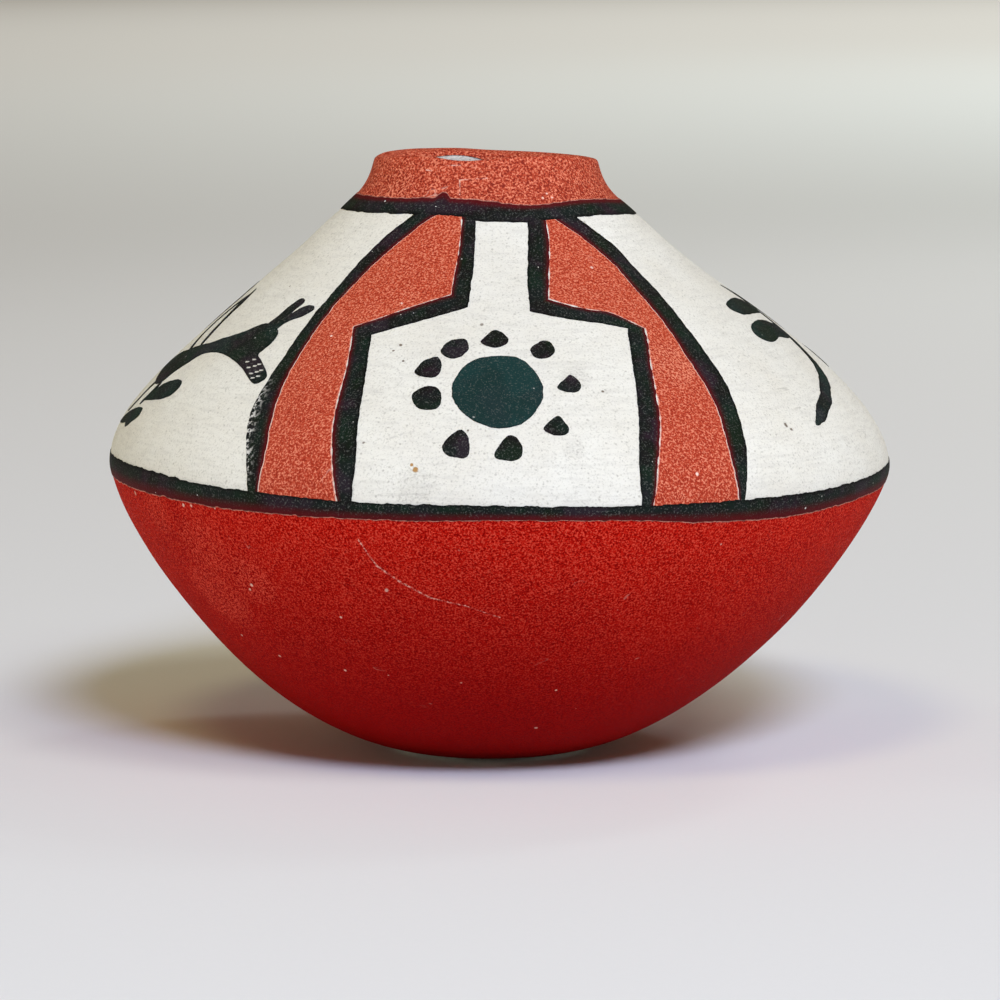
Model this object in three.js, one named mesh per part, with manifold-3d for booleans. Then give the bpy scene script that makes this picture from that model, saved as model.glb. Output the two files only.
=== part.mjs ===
// Small hand-built clay jar: a wide low shoulder, a short neck and a round mouth.
// The wall is a base pat and coils with bevelled seams, under coats of slip and painted marks.
// Millimetres, +Z up. The jar stands on Z = 0, its shoulder is centred on the Z axis, the front faces -Y.
import * as THREE from "three";
import { mergeVertices } from "three/addons/utils/BufferGeometryUtils.js";
import Module from "manifold-3d";

const wasm = await Module();
wasm.setup();

// Outer line of the wall, from the foot to the rim. Slopes are in degrees from the horizontal,
// and a reach is how far the line keeps its slope before it bends.
const baseRadius = 10.2;
const footSlope = 4.6;
const footReach = 24;
const shoulderRadius = 55;
const shoulderHeight = 41.1;
const shoulderReachDown = 7;
const shoulderReachUp = 10.7;
const neckFootRadius = 24.1;
const neckFootRise = 32.2;
const neckFootSlope = 135.9;
const neckFootReachDown = 12;
const neckFootReachUp = 7.7;
const rimRadius = 15.7;
const rimRise = 10.7;
const rimSlope = 102;
const rimReach = 5.1;

// The hand-built wall stands a little out of true: its neck and its foot both sit to the left of the shoulder.
const neckLean = -2;
const footLean = -1.4;

// Clay
const wallThickness = 5;
const lipThickness = 2.8;
const lipRise = 0.7;
const patWidth = 14;
const lowerCoilCount = 4;
const upperCoilCount = 4;
const shoulderCoilWidth = 12;
const neckCoilWidth = 6.4;
const seamLap = 3;
const seamGap = 0.2;
const coilRidge = 0.45;
const bareFootWidth = 4;

// Slip and paint. The red and white slips meet under the painted bands.
const slipThickness = 0.5;
const slipInsideLip = 1;
const paintThickness = 0.4;
const layerGap = 0.1;
const lineWidth = 2.5;
const fineLineWidth = 1;
const brushGap = 0.3;
const brushReach = 9;
const brushTip = 0.6;
const shoulderBandRise = 0.2;
const shoulderBandWidth = 2.6;
const neckBandRise = 4.2;
const neckBandWidth = 3.1;

// Sun of each panel
const sunRadius = 6.2;
const sunHeight = 17.2;
const sunRingRadius = 9.8;
const sunDotCount = 9;
const sunDotRadius = 1.85;
const sunDotCorner = 0.13;

// Fineness of the round faces
const wallSegments = 32;
const lowerRows = 6;
const upperRows = 5;
const neckRows = 3;
const lipSteps = 3;
const dotSteps = 6;
const sunSteps = 12;

// Brush strokes of one side of a panel. A stroke is a row of [degrees, height, press]: the angle round the jar
// from the panel's middle, the height from 0 at the shoulder band to 1 at the neck band, the share of a line's width.
const outerArc = [
  [36.2, -0.03, 0.45],
  [37.1, 0.1, 1],
  [39.3, 0.25, 1.4],
  [40.9, 0.45, 1.1],
  [42, 0.64, 0.9],
  [39.6, 0.82, 1],
  [34.5, 0.93, 1.1],
  [28, 1.03, 1.3],
];
const slotSide = [
  [13.3, 1.03, 1],
  [10.6, 0.85, 1.05],
  [9.4, 0.685, 1],
];
const windowTop = [
  [9.4, 0.685, 1],
  [19.3, 0.638, 0.95],
  [29.1, 0.583, 1.05],
];
const windowSide = [
  [29.1, 0.583, 1.05],
  [26.6, 0.42, 1.25],
  [23.2, 0.19, 1.4],
  [21.2, -0.03, 0.7],
];

// Brush strokes of the figures between the panels, as shares of a fine line. Angles are from the middle of the side.
const birdStrokes = [
  // crest
  [[36.5, 0.57, 1.5], [39, 0.665, 1.1]],
  [[37.5, 0.56, 1.5], [43.4, 0.648, 1.2]],
  // head and neck
  [[38.3, 0.51, 5], [33, 0.495, 5.6], [25, 0.455, 3], [18, 0.42, 3.4]],
  // breast
  [[37.5, 0.47, 4], [44, 0.366, 2.6]],
  // body
  [[18, 0.42, 3.4], [12, 0.365, 5.4], [4, 0.3, 4.2]],
  // wing
  [[12, 0.4, 1], [11, 0.53, 0.9], [12, 0.67, 0.8]],
  [[15.5, 0.43, 1], [15.2, 0.56, 1], [12, 0.67, 0.8]],
  // legs and the near foot
  [[10, 0.33, 1], [5, 0.185, 0.8]],
  [[15, 0.37, 1], [12.5, 0.225, 0.9]],
  [[13, 0.242, 1.5], [18, 0.27, 3], [23, 0.295, 2]],
];
const birdFootStrokes = [[[5, 0.13, 1.5], [10, 0.153, 3.2], [15, 0.185, 2]]];
const branchStrokes = [
  // stem
  [
    [-32.8, 0.175, 1.3],
    [-26, 0.222, 2.3],
    [-16, 0.308, 2.2],
    [-10, 0.378, 1.9],
    [-4, 0.53, 1.4],
    [0, 0.64, 1.2],
  ],
  // leaves
  [[-2.5, 0.58, 1.4], [-12, 0.6, 2.8], [-21, 0.611, 2.6]],
  [[-5.5, 0.49, 1.5], [-14, 0.505, 3.4], [-22.5, 0.503, 3]],
];

const clay = new THREE.MeshStandardMaterial({ color: 0xd8cfbf, roughness: 0.9, metalness: 0 });
const redSlip = new THREE.MeshStandardMaterial({ color: 0x9c2a20, roughness: 0.5, metalness: 0 });
const neckSlip = new THREE.MeshStandardMaterial({ color: 0xb8503f, roughness: 0.55, metalness: 0 });
const whiteSlip = new THREE.MeshStandardMaterial({ color: 0xe8e4da, roughness: 0.7, metalness: 0 });
const redPaint = new THREE.MeshStandardMaterial({ color: 0xc4543f, roughness: 0.7, metalness: 0 });
const blackPaint = new THREE.MeshStandardMaterial({ color: 0x24241f, roughness: 0.6, metalness: 0 });

const jar = new THREE.Group();
const coatDepth = slipThickness + layerGap;
const neckFootHeight = shoulderHeight + neckFootRise;

function addNode(name, geometry, material) {
  const mesh = new THREE.Mesh(geometry, material);
  mesh.name = name;
  jar.add(mesh);
}

// A curve of the wall line that leaves one point and meets the next at their own slopes.
function wallCurve(from, fromSlope, fromReach, to, toSlope, toReach) {
  const along = (slope, reach) =>
    new THREE.Vector2(reach, 0).rotateAround(new THREE.Vector2(), THREE.MathUtils.degToRad(slope));
  return new THREE.CubicBezierCurve(
    from,
    from.clone().add(along(fromSlope, fromReach)),
    to.clone().sub(along(toSlope, toReach)),
    to,
  );
}

const foot = new THREE.Vector2(baseRadius, 0);
const shoulder = new THREE.Vector2(shoulderRadius, shoulderHeight);
const neckFoot = new THREE.Vector2(neckFootRadius, neckFootHeight);
const rim = new THREE.Vector2(rimRadius, neckFootHeight + rimRise);
const underbody = wallCurve(foot, footSlope, footReach, shoulder, 90, shoulderReachDown);
const upperBody = wallCurve(shoulder, 90, shoulderReachUp, neckFoot, neckFootSlope, neckFootReachDown);
const neck = wallCurve(neckFoot, neckFootSlope, neckFootReachUp, rim, rimSlope, rimReach);

const wallRows = [
  ...underbody.getPoints(lowerRows),
  ...upperBody.getPoints(upperRows).slice(1),
  ...neck.getPoints(neckRows).slice(1),
];
const rowDistance = [0];
for (let i = 1; i < wallRows.length; i++) {
  rowDistance.push(rowDistance[i - 1] + wallRows[i].distanceTo(wallRows[i - 1]));
}
const shoulderDistance = rowDistance[lowerRows];
const neckFootDistance = rowDistance[lowerRows + upperRows];
const rimDistance = rowDistance[rowDistance.length - 1];

// At each row, the way out of the wall, long enough for a coat one millimetre thick on both faces beside it.
function faceNormal(from, to) {
  return new THREE.Vector2(to.y - from.y, from.x - to.x).normalize();
}
const rowNormals = wallRows.map((point, i) => {
  const below = faceNormal(wallRows[Math.max(i - 1, 0)], wallRows[Math.max(i, 1)]);
  const last = wallRows.length - 1;
  const above = faceNormal(wallRows[Math.min(i, last - 1)], wallRows[Math.min(i + 1, last)]);
  const middle = below.clone().add(above).normalize();
  return middle.divideScalar(middle.dot(below));
});

// Radius and height at a distance along the wall, raised by depth from its outer face.
function wallAt(distance, depth) {
  let row = rowDistance.findIndex((end, i) => i > 0 && end >= distance) - 1;
  if (row < 0) {
    row = distance <= 0 ? 0 : wallRows.length - 2;
  }
  const share = (distance - rowDistance[row]) / (rowDistance[row + 1] - rowDistance[row]);
  const start = wallRows[row].clone().addScaledVector(rowNormals[row], depth);
  const end = wallRows[row + 1].clone().addScaledVector(rowNormals[row + 1], depth);
  return start.lerp(end, share);
}

// Points of the wall from one distance to another. depthAt gives the depth at each distance.
function wallChain(from, to, depthAt) {
  const inside = rowDistance.filter((d) => d > Math.min(from, to) && d < Math.max(from, to));
  if (from > to) {
    inside.reverse();
  }
  return [from, ...inside, to].map((d) => wallAt(d, depthAt(d)));
}

function leanAt(height) {
  const { smoothstep } = THREE.MathUtils;
  if (height < shoulderHeight) {
    return footLean * smoothstep(shoulderHeight - height, 0, shoulderHeight);
  }
  return neckLean * smoothstep(height, shoulderHeight, neckFootHeight);
}

// Turns a closed outline of radius and height into a ring round the jar, leaning as the wall leans.
function ringOf(outline) {
  const geometry = new THREE.LatheGeometry(outline, wallSegments);
  geometry.rotateX(Math.PI / 2);
  const at = geometry.attributes.position;
  for (let i = 0; i < at.count; i++) {
    at.setX(i, at.getX(i) + leanAt(at.getZ(i)));
  }
  return geometry;
}
function closed(points) {
  return [...points, points[0]];
}

function clayThickness(distance) {
  const upNeck = THREE.MathUtils.smoothstep(distance, neckFootDistance, rimDistance);
  return THREE.MathUtils.lerp(wallThickness, lipThickness - 2 * coatDepth, upNeck);
}
function clayInside(distance, ridge = 0) {
  return wallAt(distance, -(coatDepth + clayThickness(distance) + ridge));
}

// One coil. Each is pressed down inside the one below it, so the seams slope down to the inside,
// and its round section leaves a low ridge inside the jar.
function coilOutline(from, to) {
  const low = from + seamGap / 2;
  const high = to - seamGap / 2;
  const middle = (low + high) / 2 - seamLap;
  return closed([
    ...wallChain(low, high, () => -coatDepth),
    clayInside(high - seamLap),
    clayInside(middle, coilRidge),
    clayInside(low - seamLap),
  ]);
}

// The domed top of the lip, at a depth inside the slip's face.
function lipDome(depth) {
  const centre = wallAt(rimDistance - depth, -lipThickness / 2);
  const across = wallAt(rimDistance - depth, 0).sub(centre).normalize();
  const up = new THREE.Vector2(-across.y, across.x);
  return Array.from({ length: lipSteps - 1 }, (_, i) => {
    const turn = (Math.PI * (i + 1)) / lipSteps;
    const top = centre.clone().addScaledVector(across, Math.cos(turn) * (lipThickness / 2 - depth));
    return top.addScaledVector(up, Math.sin(turn) * lipRise);
  });
}

const neckCoilEnd = neckFootDistance + neckCoilWidth;
const lipCoilStart = neckCoilEnd + seamGap / 2;
const lipFace = [clayInside(rimDistance - coatDepth), clayInside(lipCoilStart - seamLap)];

// The line inside the mouth from the lip to the lower edge of the slip, at a depth inside the slip's face.
function insideLip(depth) {
  const out = coatDepth - depth;
  const away = faceNormal(...lipFace);
  const down = lipFace[1].clone().sub(lipFace[0]).normalize();
  const reach = (along) => lipFace[0].clone().addScaledVector(away, out).addScaledVector(down, along);
  return [reach(-out), reach(slipInsideLip)];
}

function addClay() {
  const patTop = patWidth - seamGap / 2;
  const pat = [
    new THREE.Vector2(0, 0),
    ...wallChain(0, bareFootWidth, () => 0),
    ...wallChain(bareFootWidth, patTop, () => -coatDepth),
    clayInside(patTop - seamLap),
    clayInside(0),
    new THREE.Vector2(0, clayInside(0).y),
  ];
  addNode("base_pat", ringOf(pat), clay);

  const shoulderCoilStart = shoulderDistance - shoulderCoilWidth / 2;
  const shoulderCoilEnd = shoulderDistance + shoulderCoilWidth / 2;
  const addCoils = (name, from, to, count) => {
    const width = (to - from) / count;
    for (let i = 0; i < count; i++) {
      addNode(`${name}_${i + 1}`, ringOf(coilOutline(from + i * width, from + (i + 1) * width)), clay);
    }
  };
  addCoils("lower_coil", patWidth, shoulderCoilStart, lowerCoilCount);
  addNode("shoulder_coil", ringOf(coilOutline(shoulderCoilStart, shoulderCoilEnd)), clay);
  addCoils("upper_coil", shoulderCoilEnd, neckFootDistance, upperCoilCount);
  addNode("neck_coil", ringOf(coilOutline(neckFootDistance, neckCoilEnd)), clay);
  const outside = wallChain(lipCoilStart, rimDistance - coatDepth, () => -coatDepth);
  addNode("lip_coil", ringOf(closed([...outside, ...lipDome(coatDepth), ...lipFace])), clay);
}

// A coat of even thickness over part of the wall.
function coatOutline(from, to, inner, outer) {
  return closed([...wallChain(from, to, () => outer), ...wallChain(to, from, () => inner)]);
}

const shoulderBandTop = shoulderDistance + shoulderBandRise;
const shoulderBandMiddle = shoulderBandTop - shoulderBandWidth / 2;
const neckBandBottom = neckFootDistance + neckBandRise;
const neckBandMiddle = neckBandBottom + neckBandWidth / 2;

function addSlips() {
  const halfGap = brushGap / 2;
  const under = coatOutline(bareFootWidth + halfGap, shoulderBandMiddle - halfGap, -slipThickness, 0);
  const white = coatOutline(shoulderBandMiddle + halfGap, neckBandMiddle - halfGap, -slipThickness, 0);
  const overLip = closed([
    ...wallChain(neckBandMiddle + halfGap, rimDistance, () => 0),
    ...lipDome(0),
    ...insideLip(0),
    ...insideLip(slipThickness).reverse(),
    ...lipDome(slipThickness).reverse(),
    ...wallChain(rimDistance - slipThickness, neckBandMiddle + halfGap, () => -slipThickness),
  ]);
  addNode("red_slip_underbody", ringOf(under), redSlip);
  addNode("white_slip_shoulder", ringOf(white), whiteSlip);
  addNode("red_slip_neck", ringOf(overLip), neckSlip);
}

const paintInner = layerGap;
const paintOuter = layerGap + paintThickness;

function addBands() {
  const bandTop = shoulderBandTop - shoulderBandWidth;
  const shoulderBand = coatOutline(bandTop, shoulderBandTop, paintInner, paintOuter);
  const neckBand = coatOutline(neckBandBottom, neckBandBottom + neckBandWidth, paintInner, paintOuter);
  addNode("shoulder_band", ringOf(shoulderBand), blackPaint);
  addNode("neck_band", ringOf(neckBand), blackPaint);
}

const panelBottom = shoulderBandTop + brushGap;
const panelTop = neckBandBottom - brushGap;
const panelHeight = panelTop - panelBottom;

function toSolid(geometry) {
  const bare = geometry.clone();
  bare.deleteAttribute("normal");
  bare.deleteAttribute("uv");
  const merged = mergeVertices(bare);
  const mesh = new wasm.Mesh({
    numProp: 3,
    vertProperties: merged.attributes.position.array,
    triVerts: new Uint32Array(merged.index.array),
  });
  return new wasm.Manifold(mesh);
}

function toGeometry(solid) {
  const mesh = solid.getMesh();
  const geometry = new THREE.BufferGeometry();
  geometry.setAttribute("position", new THREE.BufferAttribute(mesh.vertProperties, mesh.numProp));
  geometry.setIndex(new THREE.BufferAttribute(mesh.triVerts, 1));
  geometry.computeVertexNormals();
  return geometry;
}

const paintLayer = toSolid(ringOf(coatOutline(panelBottom, panelTop, paintInner, paintOuter)));

// The point of the leaning wall that is seen at an angle from the upright axis, moved outwards by beyond.
function onWall(angle, distance, beyond) {
  const { x: radius, y: height } = wallAt(distance, 0);
  const lean = leanAt(height);
  const seen = lean * Math.sin(angle) + Math.sqrt(radius ** 2 - (lean * Math.cos(angle)) ** 2);
  const reach = seen + beyond;
  return new THREE.Vector3(reach * Math.sin(angle), -reach * Math.cos(angle), height);
}

// Wraps a flat outline of angle and distance round the wall, as a solid that goes right through the paint.
function wrapped(outline) {
  const options = { depth: 2 * brushReach, bevelEnabled: false };
  const geometry = new THREE.ExtrudeGeometry(new THREE.Shape(outline), options);
  const at = geometry.attributes.position;
  for (let i = 0; i < at.count; i++) {
    const point = onWall(at.getX(i), at.getY(i), at.getZ(i) - brushReach);
    at.setXYZ(i, point.x, point.y, point.z);
  }
  return toSolid(geometry);
}

// A point of the painted pattern: its middle angle, whether it is mirrored, and its height up the panel.
function patternPoint(middle, side, degrees, height) {
  return new THREE.Vector2(
    middle + side * THREE.MathUtils.degToRad(degrees),
    panelBottom + height * panelHeight,
  );
}
function stepFrom(point, across, along) {
  return new THREE.Vector2(point.x + across / wallAt(point.y, 0).x, point.y + along);
}

// One brush stroke with blunt pointed ends, widened all round by extra.
function stroke(points, width, middle, side, extra = 0) {
  const line = new THREE.SplineCurve(points.map(([a, h]) => patternPoint(middle, side, a, h)));
  const touches = points.map(([, , press], i) => {
    const at = line.points[i];
    const tangent = line.getTangent(i / (points.length - 1));
    const heading = new THREE.Vector2(tangent.x * wallAt(at.y, 0).x, tangent.y).normalize();
    return { at, heading, half: (press * width) / 2 + extra };
  });
  const right = ({ at, heading, half }) => stepFrom(at, heading.y * half, -heading.x * half);
  const left = ({ at, heading, half }) => stepFrom(at, -heading.y * half, heading.x * half);
  const tip = ({ at, heading, half }, way) => {
    const reach = way * brushTip * half;
    return stepFrom(at, heading.x * reach, heading.y * reach);
  };
  return wrapped([
    ...touches.map(right),
    tip(touches[touches.length - 1], 1),
    ...touches.map(left).reverse(),
    tip(touches[0], -1),
  ]);
}

function strokes(list, width, middle, side, extra) {
  return list.map((points) => stroke(points, width, middle, side, extra)).reduce((a, b) => a.add(b));
}

function painted(cutter) {
  return toGeometry(paintLayer.intersect(cutter));
}

// A round dab about a point of the pattern. spread gives its radius at each turn.
function dab(centre, steps, spread) {
  const outline = Array.from({ length: steps }, (_, i) => {
    const turn = (2 * Math.PI * i) / steps;
    return stepFrom(centre, spread(turn) * Math.cos(turn), spread(turn) * Math.sin(turn));
  });
  return wrapped(outline);
}

// Red field of one side of a panel, between the outer arc and the stepped line, clear of both.
function redLobe(middle, side) {
  const border = [outerArc, slotSide, windowTop.slice(1), windowSide.slice(1)].flat();
  const field = wrapped(border.map(([a, h]) => patternPoint(middle, side, a, h)));
  const lines = strokes([outerArc, slotSide, windowTop, windowSide], lineWidth, middle, side, brushGap);
  return field.subtract(lines);
}

function addPanel(name, middle) {
  for (const [hand, side] of [["left", -1], ["right", 1]]) {
    addNode(`${name}_lobe_${hand}`, painted(redLobe(middle, side)), redPaint);
    addNode(`${name}_arc_${hand}`, painted(stroke(outerArc, lineWidth, middle, side)), blackPaint);
    const step = strokes([slotSide, windowTop, windowSide], lineWidth, middle, side);
    addNode(`${name}_step_${hand}`, painted(step), blackPaint);
  }
  const sun = new THREE.Vector2(middle, shoulderBandTop + sunHeight);
  addNode(`${name}_sun_disc`, painted(dab(sun, sunSteps, () => sunRadius)), blackPaint);
  for (let i = 0; i < sunDotCount; i++) {
    const bearing = Math.PI / 2 + (2 * Math.PI * i) / sunDotCount;
    const centre = stepFrom(sun, sunRingRadius * Math.cos(bearing), sunRingRadius * Math.sin(bearing));
    const corners = (turn) => sunDotRadius * (1 - sunDotCorner * Math.cos(3 * (turn - bearing)));
    addNode(`${name}_sun_dot_${i + 1}`, painted(dab(centre, dotSteps, corners)), blackPaint);
  }
}

// A bird and a leafy branch fill the side between two panels.
function addSideFigures(name, middle) {
  const figure = (list) => painted(strokes(list, fineLineWidth, middle, 1));
  addNode(`${name}_bird`, figure(birdStrokes), blackPaint);
  addNode(`${name}_bird_foot`, figure(birdFootStrokes), blackPaint);
  addNode(`${name}_branch`, figure(branchStrokes), blackPaint);
}

addClay();
addSlips();
addBands();
addPanel("front", 0);
addPanel("back", Math.PI);
addSideFigures("left", -Math.PI / 2);
addSideFigures("right", Math.PI / 2);

export default jar;
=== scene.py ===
import bisect
import math

import bmesh
import bpy
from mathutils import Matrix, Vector, noise
from mathutils.geometry import interpolate_bezier


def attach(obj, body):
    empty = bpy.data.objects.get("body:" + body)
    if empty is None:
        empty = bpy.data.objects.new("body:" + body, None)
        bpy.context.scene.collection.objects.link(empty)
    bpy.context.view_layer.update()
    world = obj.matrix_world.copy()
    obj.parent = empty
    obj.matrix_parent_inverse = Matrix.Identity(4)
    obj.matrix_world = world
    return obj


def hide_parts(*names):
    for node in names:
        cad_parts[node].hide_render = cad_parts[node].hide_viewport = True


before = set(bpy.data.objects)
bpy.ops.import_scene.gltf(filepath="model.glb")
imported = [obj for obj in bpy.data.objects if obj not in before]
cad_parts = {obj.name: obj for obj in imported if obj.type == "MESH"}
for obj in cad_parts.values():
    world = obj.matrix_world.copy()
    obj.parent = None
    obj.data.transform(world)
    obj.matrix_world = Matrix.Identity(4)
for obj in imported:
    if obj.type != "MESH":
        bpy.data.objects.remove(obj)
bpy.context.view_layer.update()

# Sizes in the dictionaries are millimetres and degrees. A finished mesh is scaled to metres.
# Round the jar, 0 degrees is the front, towards -Y, and 90 degrees is its right side, towards +X.
mm = 0.001
mergeReach = 0.001


# Camera

camera = {"place": (0, -700, 121.3), "aim": (0, 0, 35.32), "lens": 178.98}

cameraData = bpy.data.cameras.new("camera")
cameraData.lens = camera["lens"]
cameraObject = bpy.data.objects.new("camera", cameraData)
cameraObject.location = Vector(camera["place"]) * mm
cameraLine = Vector(camera["aim"]) - Vector(camera["place"])
cameraObject.rotation_euler = cameraLine.to_track_quat("-Z", "Y").to_euler()
bpy.context.scene.collection.objects.link(cameraObject)
bpy.context.scene.camera = cameraObject
bpy.context.scene.view_settings.view_transform = "Standard"
print("camera placed")


# The wall of the jar: its outer line, and how far it stands out of true

wall = {
    "foot": (10.2, 0), "footSlope": 4.6, "footReach": 24,
    "shoulder": (55, 41.1), "shoulderSlope": 90, "shoulderReachDown": 7, "shoulderReachUp": 10.7,
    "neckFoot": (24.1, 73.3), "neckFootSlope": 135.9, "neckFootReachDown": 12, "neckFootReachUp": 7.7,
    "rim": (15.7, 84), "rimSlope": 102, "rimReach": 5.1,
    "lowerSteps": 160, "upperSteps": 120, "neckSteps": 48,
    "thickness": 5, "lipThickness": 2.8, "lipRise": 0.85, "lipStart": 0.3,
    "lipCrown": 1.13, "lipSquareness": 0.5, "lipSteps": 14,
    "dentSize": 19, "dentDepth": 0.16, "rippleSize": 6, "rippleDepth": 0.03,
}
# [height, how far the round of the wall stands to the right]
wallLean = [
    (0, -1.44), (14, -1), (20, -0.65), (27, -0.45), (34, -0.2), (40, 0), (47, -0.33),
    (54, -0.55), (60, -0.85), (64.5, -1.35), (68, -1.8), (73, -1.95), (85, -2),
]
# [degrees, rise] of the hand-pressed lip
lipWave = [
    (-165, 0.36), (-150, 0.42), (-136, 0.45), (-115, 0.3), (-90, -0.05), (-60, 0.3), (-40, 0.6), (-29.5, 0.6),
    (-18, 0.2), (-8, 0.12), (2, 0.36), (14, 0.62), (30, 0.74), (45, 0.6), (65, 0.1), (90, -0.4), (125, -0.3),
    (150, -0.14), (170, 0), (180, 0.1),
]
# [degrees, how far the red slip runs down inside the lip]
slipEdge = [
    (-175, 0.3), (-163, 0.05), (-152, 0.12), (-142, 0.35), (-130, 0.5), (-90, 0.6), (-40, 0.4), (0, 0.5),
    (60, 0.4), (120, 0.6), (160, 0.8), (172, 0.85), (180, 0.6),
]


# Reads a table of (where, value) pairs with a smooth line through them
def readTable(table, where):
    keys = [key for key, _ in table]
    i = min(max(bisect.bisect_right(keys, where) - 1, 0), len(keys) - 2)
    (startKey, start), (endKey, end) = table[i], table[i + 1]
    share = min(max((where - startKey) / (endKey - startKey), 0), 1)

    def slopeAt(j):
        before, after = table[max(j - 1, 0)], table[min(j + 1, len(keys) - 1)]
        return (after[1] - before[1]) / (after[0] - before[0])

    span = endKey - startKey
    bend = (1 - share) * slopeAt(i) * span - share * slopeAt(i + 1) * span
    rise = (end - start) * (1 - 2 * share)
    return start + share * (end - start) + share * (1 - share) * (bend - rise)


# The same for a table that closes round the jar
def readRound(table, degrees):
    before = [(key - 360, value) for key, value in table[-2:]]
    after = [(key + 360, value) for key, value in table[:2]]
    turned = (degrees + 180) % 360 - 180
    return readTable(before + table + after, turned)


def smoothStep(value, start, end):
    share = min(max((value - start) / (end - start), 0), 1)
    return share * share * (3 - 2 * share)


def slopeStep(slope, reach):
    turn = math.radians(slope)
    return Vector((math.cos(turn), math.sin(turn))) * reach


def wallCurve(start, startSlope, startReach, end, endSlope, endReach, steps):
    start, end = Vector(start), Vector(end)
    leave = start + slopeStep(startSlope, startReach)
    arrive = end - slopeStep(endSlope, endReach)
    return interpolate_bezier(start, leave, arrive, end, steps + 1)


lowerWall = wallCurve(wall["foot"], wall["footSlope"], wall["footReach"], wall["shoulder"],
                      wall["shoulderSlope"], wall["shoulderReachDown"], wall["lowerSteps"])
upperWall = wallCurve(wall["shoulder"], wall["shoulderSlope"], wall["shoulderReachUp"], wall["neckFoot"],
                      wall["neckFootSlope"], wall["neckFootReachDown"], wall["upperSteps"])
neckWall = wallCurve(wall["neckFoot"], wall["neckFootSlope"], wall["neckFootReachUp"], wall["rim"],
                     wall["rimSlope"], wall["rimReach"], wall["neckSteps"])
wallLine = lowerWall + upperWall[1:] + neckWall[1:]
wallDistance = [0]
for start, end in zip(wallLine, wallLine[1:]):
    wallDistance.append(wallDistance[-1] + (end - start).length)
wallOut = []
for i in range(len(wallLine)):
    ahead = wallLine[min(i + 1, len(wallLine) - 1)] - wallLine[max(i - 1, 0)]
    wallOut.append(Vector((ahead.y, -ahead.x)).normalized())

shoulderDistance = wallDistance[wall["lowerSteps"]]
neckFootDistance = wallDistance[wall["lowerSteps"] + wall["upperSteps"]]
rimDistance = wallDistance[-1]


# Radius and height at a distance along the wall, raised from its face by lift
def wallAt(distance, lift=0):
    i = min(max(bisect.bisect_right(wallDistance, distance) - 1, 0), len(wallLine) - 2)
    share = (distance - wallDistance[i]) / (wallDistance[i + 1] - wallDistance[i])
    return wallLine[i].lerp(wallLine[i + 1], share) + wallOut[i].lerp(wallOut[i + 1], share) * lift


def distanceAt(height):
    heights = [point.y for point in wallLine]
    i = min(max(bisect.bisect_right(heights, height) - 1, 0), len(heights) - 2)
    share = (height - heights[i]) / (heights[i + 1] - heights[i])
    return wallDistance[i] + share * (wallDistance[i + 1] - wallDistance[i])


# Moves a point of the true round into the hand-made one: dents, the uneven lip and the lean
def handShaped(point):
    turn = math.atan2(point.x, -point.y)
    dent = noise.noise(point / wall["dentSize"]) * wall["dentDepth"]
    ripple = noise.noise(point / wall["rippleSize"]) * wall["rippleDepth"]
    out = Vector((math.sin(turn), -math.cos(turn), 0)) * (dent + ripple)
    radius = math.hypot(point.x, point.y)
    lipShare = smoothStep(point.z, wall["neckFoot"][1], wall["rim"][1])
    rise = readRound(lipWave, math.degrees(turn)) * lipShare if lipShare else 0
    lean = readTable(wallLean, point.z)
    return point + out * min(radius, 1) + Vector((lean, 0, rise))


def onWall(degrees, distance, lift):
    section = wallAt(distance, lift)
    turn = math.radians(degrees)
    return handShaped(Vector((section.x * math.sin(turn), -section.x * math.cos(turn), section.y)))


# Points of the wall line between two distances, about a step apart
def wallChain(start, end, lift, step=1.0):
    count = max(1, round(abs(end - start) / step))
    return [wallAt(start + (end - start) * i / count, lift) for i in range(count + 1)]


# A mesh turned from a closed section of radius and height, or from one that ends on the axis
def turned(section, steps, ring=True, shape=handShaped):
    bm = bmesh.new()
    corners = [bm.verts.new((point.x, 0, point.y)) for point in section]
    pairs = list(zip(corners, corners[1:]))
    if ring:
        pairs.append((corners[-1], corners[0]))
    edges = [bm.edges.new(pair) for pair in pairs]
    bmesh.ops.spin(bm, geom=corners + edges, cent=(0, 0, 0), axis=(0, 0, 1), dvec=(0, 0, 0),
                   angle=2 * math.pi, steps=steps, use_merge=True)
    bmesh.ops.remove_doubles(bm, verts=bm.verts[:], dist=mergeReach)
    bmesh.ops.recalc_face_normals(bm, faces=bm.faces[:])
    for corner in bm.verts:
        corner.co = shape(corner.co)
    return bm


def addPiece(name, bm, materials, nodes, sharpAngle=40):
    bmesh.ops.scale(bm, vec=(mm, mm, mm), verts=bm.verts[:])
    mesh = bpy.data.meshes.new(name)
    bm.to_mesh(mesh)
    bm.free()
    mesh.shade_smooth()
    mesh.set_sharp_from_angle(angle=math.radians(sharpAngle))
    for material in materials:
        mesh.materials.append(material)
    piece = bpy.data.objects.new(name, mesh)
    bpy.context.scene.collection.objects.link(piece)
    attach(piece, "root")
    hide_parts(*nodes)
    return piece


# Shader node groups that the finishes share

def addNode(tree, kind, inputs=None, **settings):
    made = tree.nodes.new(kind)
    for key, value in settings.items():
        setattr(made, key, value)
    for key, value in (inputs or {}).items():
        if isinstance(value, bpy.types.NodeSocket):
            tree.links.new(value, made.inputs[key])
        else:
            made.inputs[key].default_value = value
    return made


def calculate(tree, operation, first, second=0.5, clamp=False):
    made = addNode(tree, "ShaderNodeMath", {0: first, 1: second}, operation=operation, use_clamp=clamp)
    return made.outputs[0]


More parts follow.
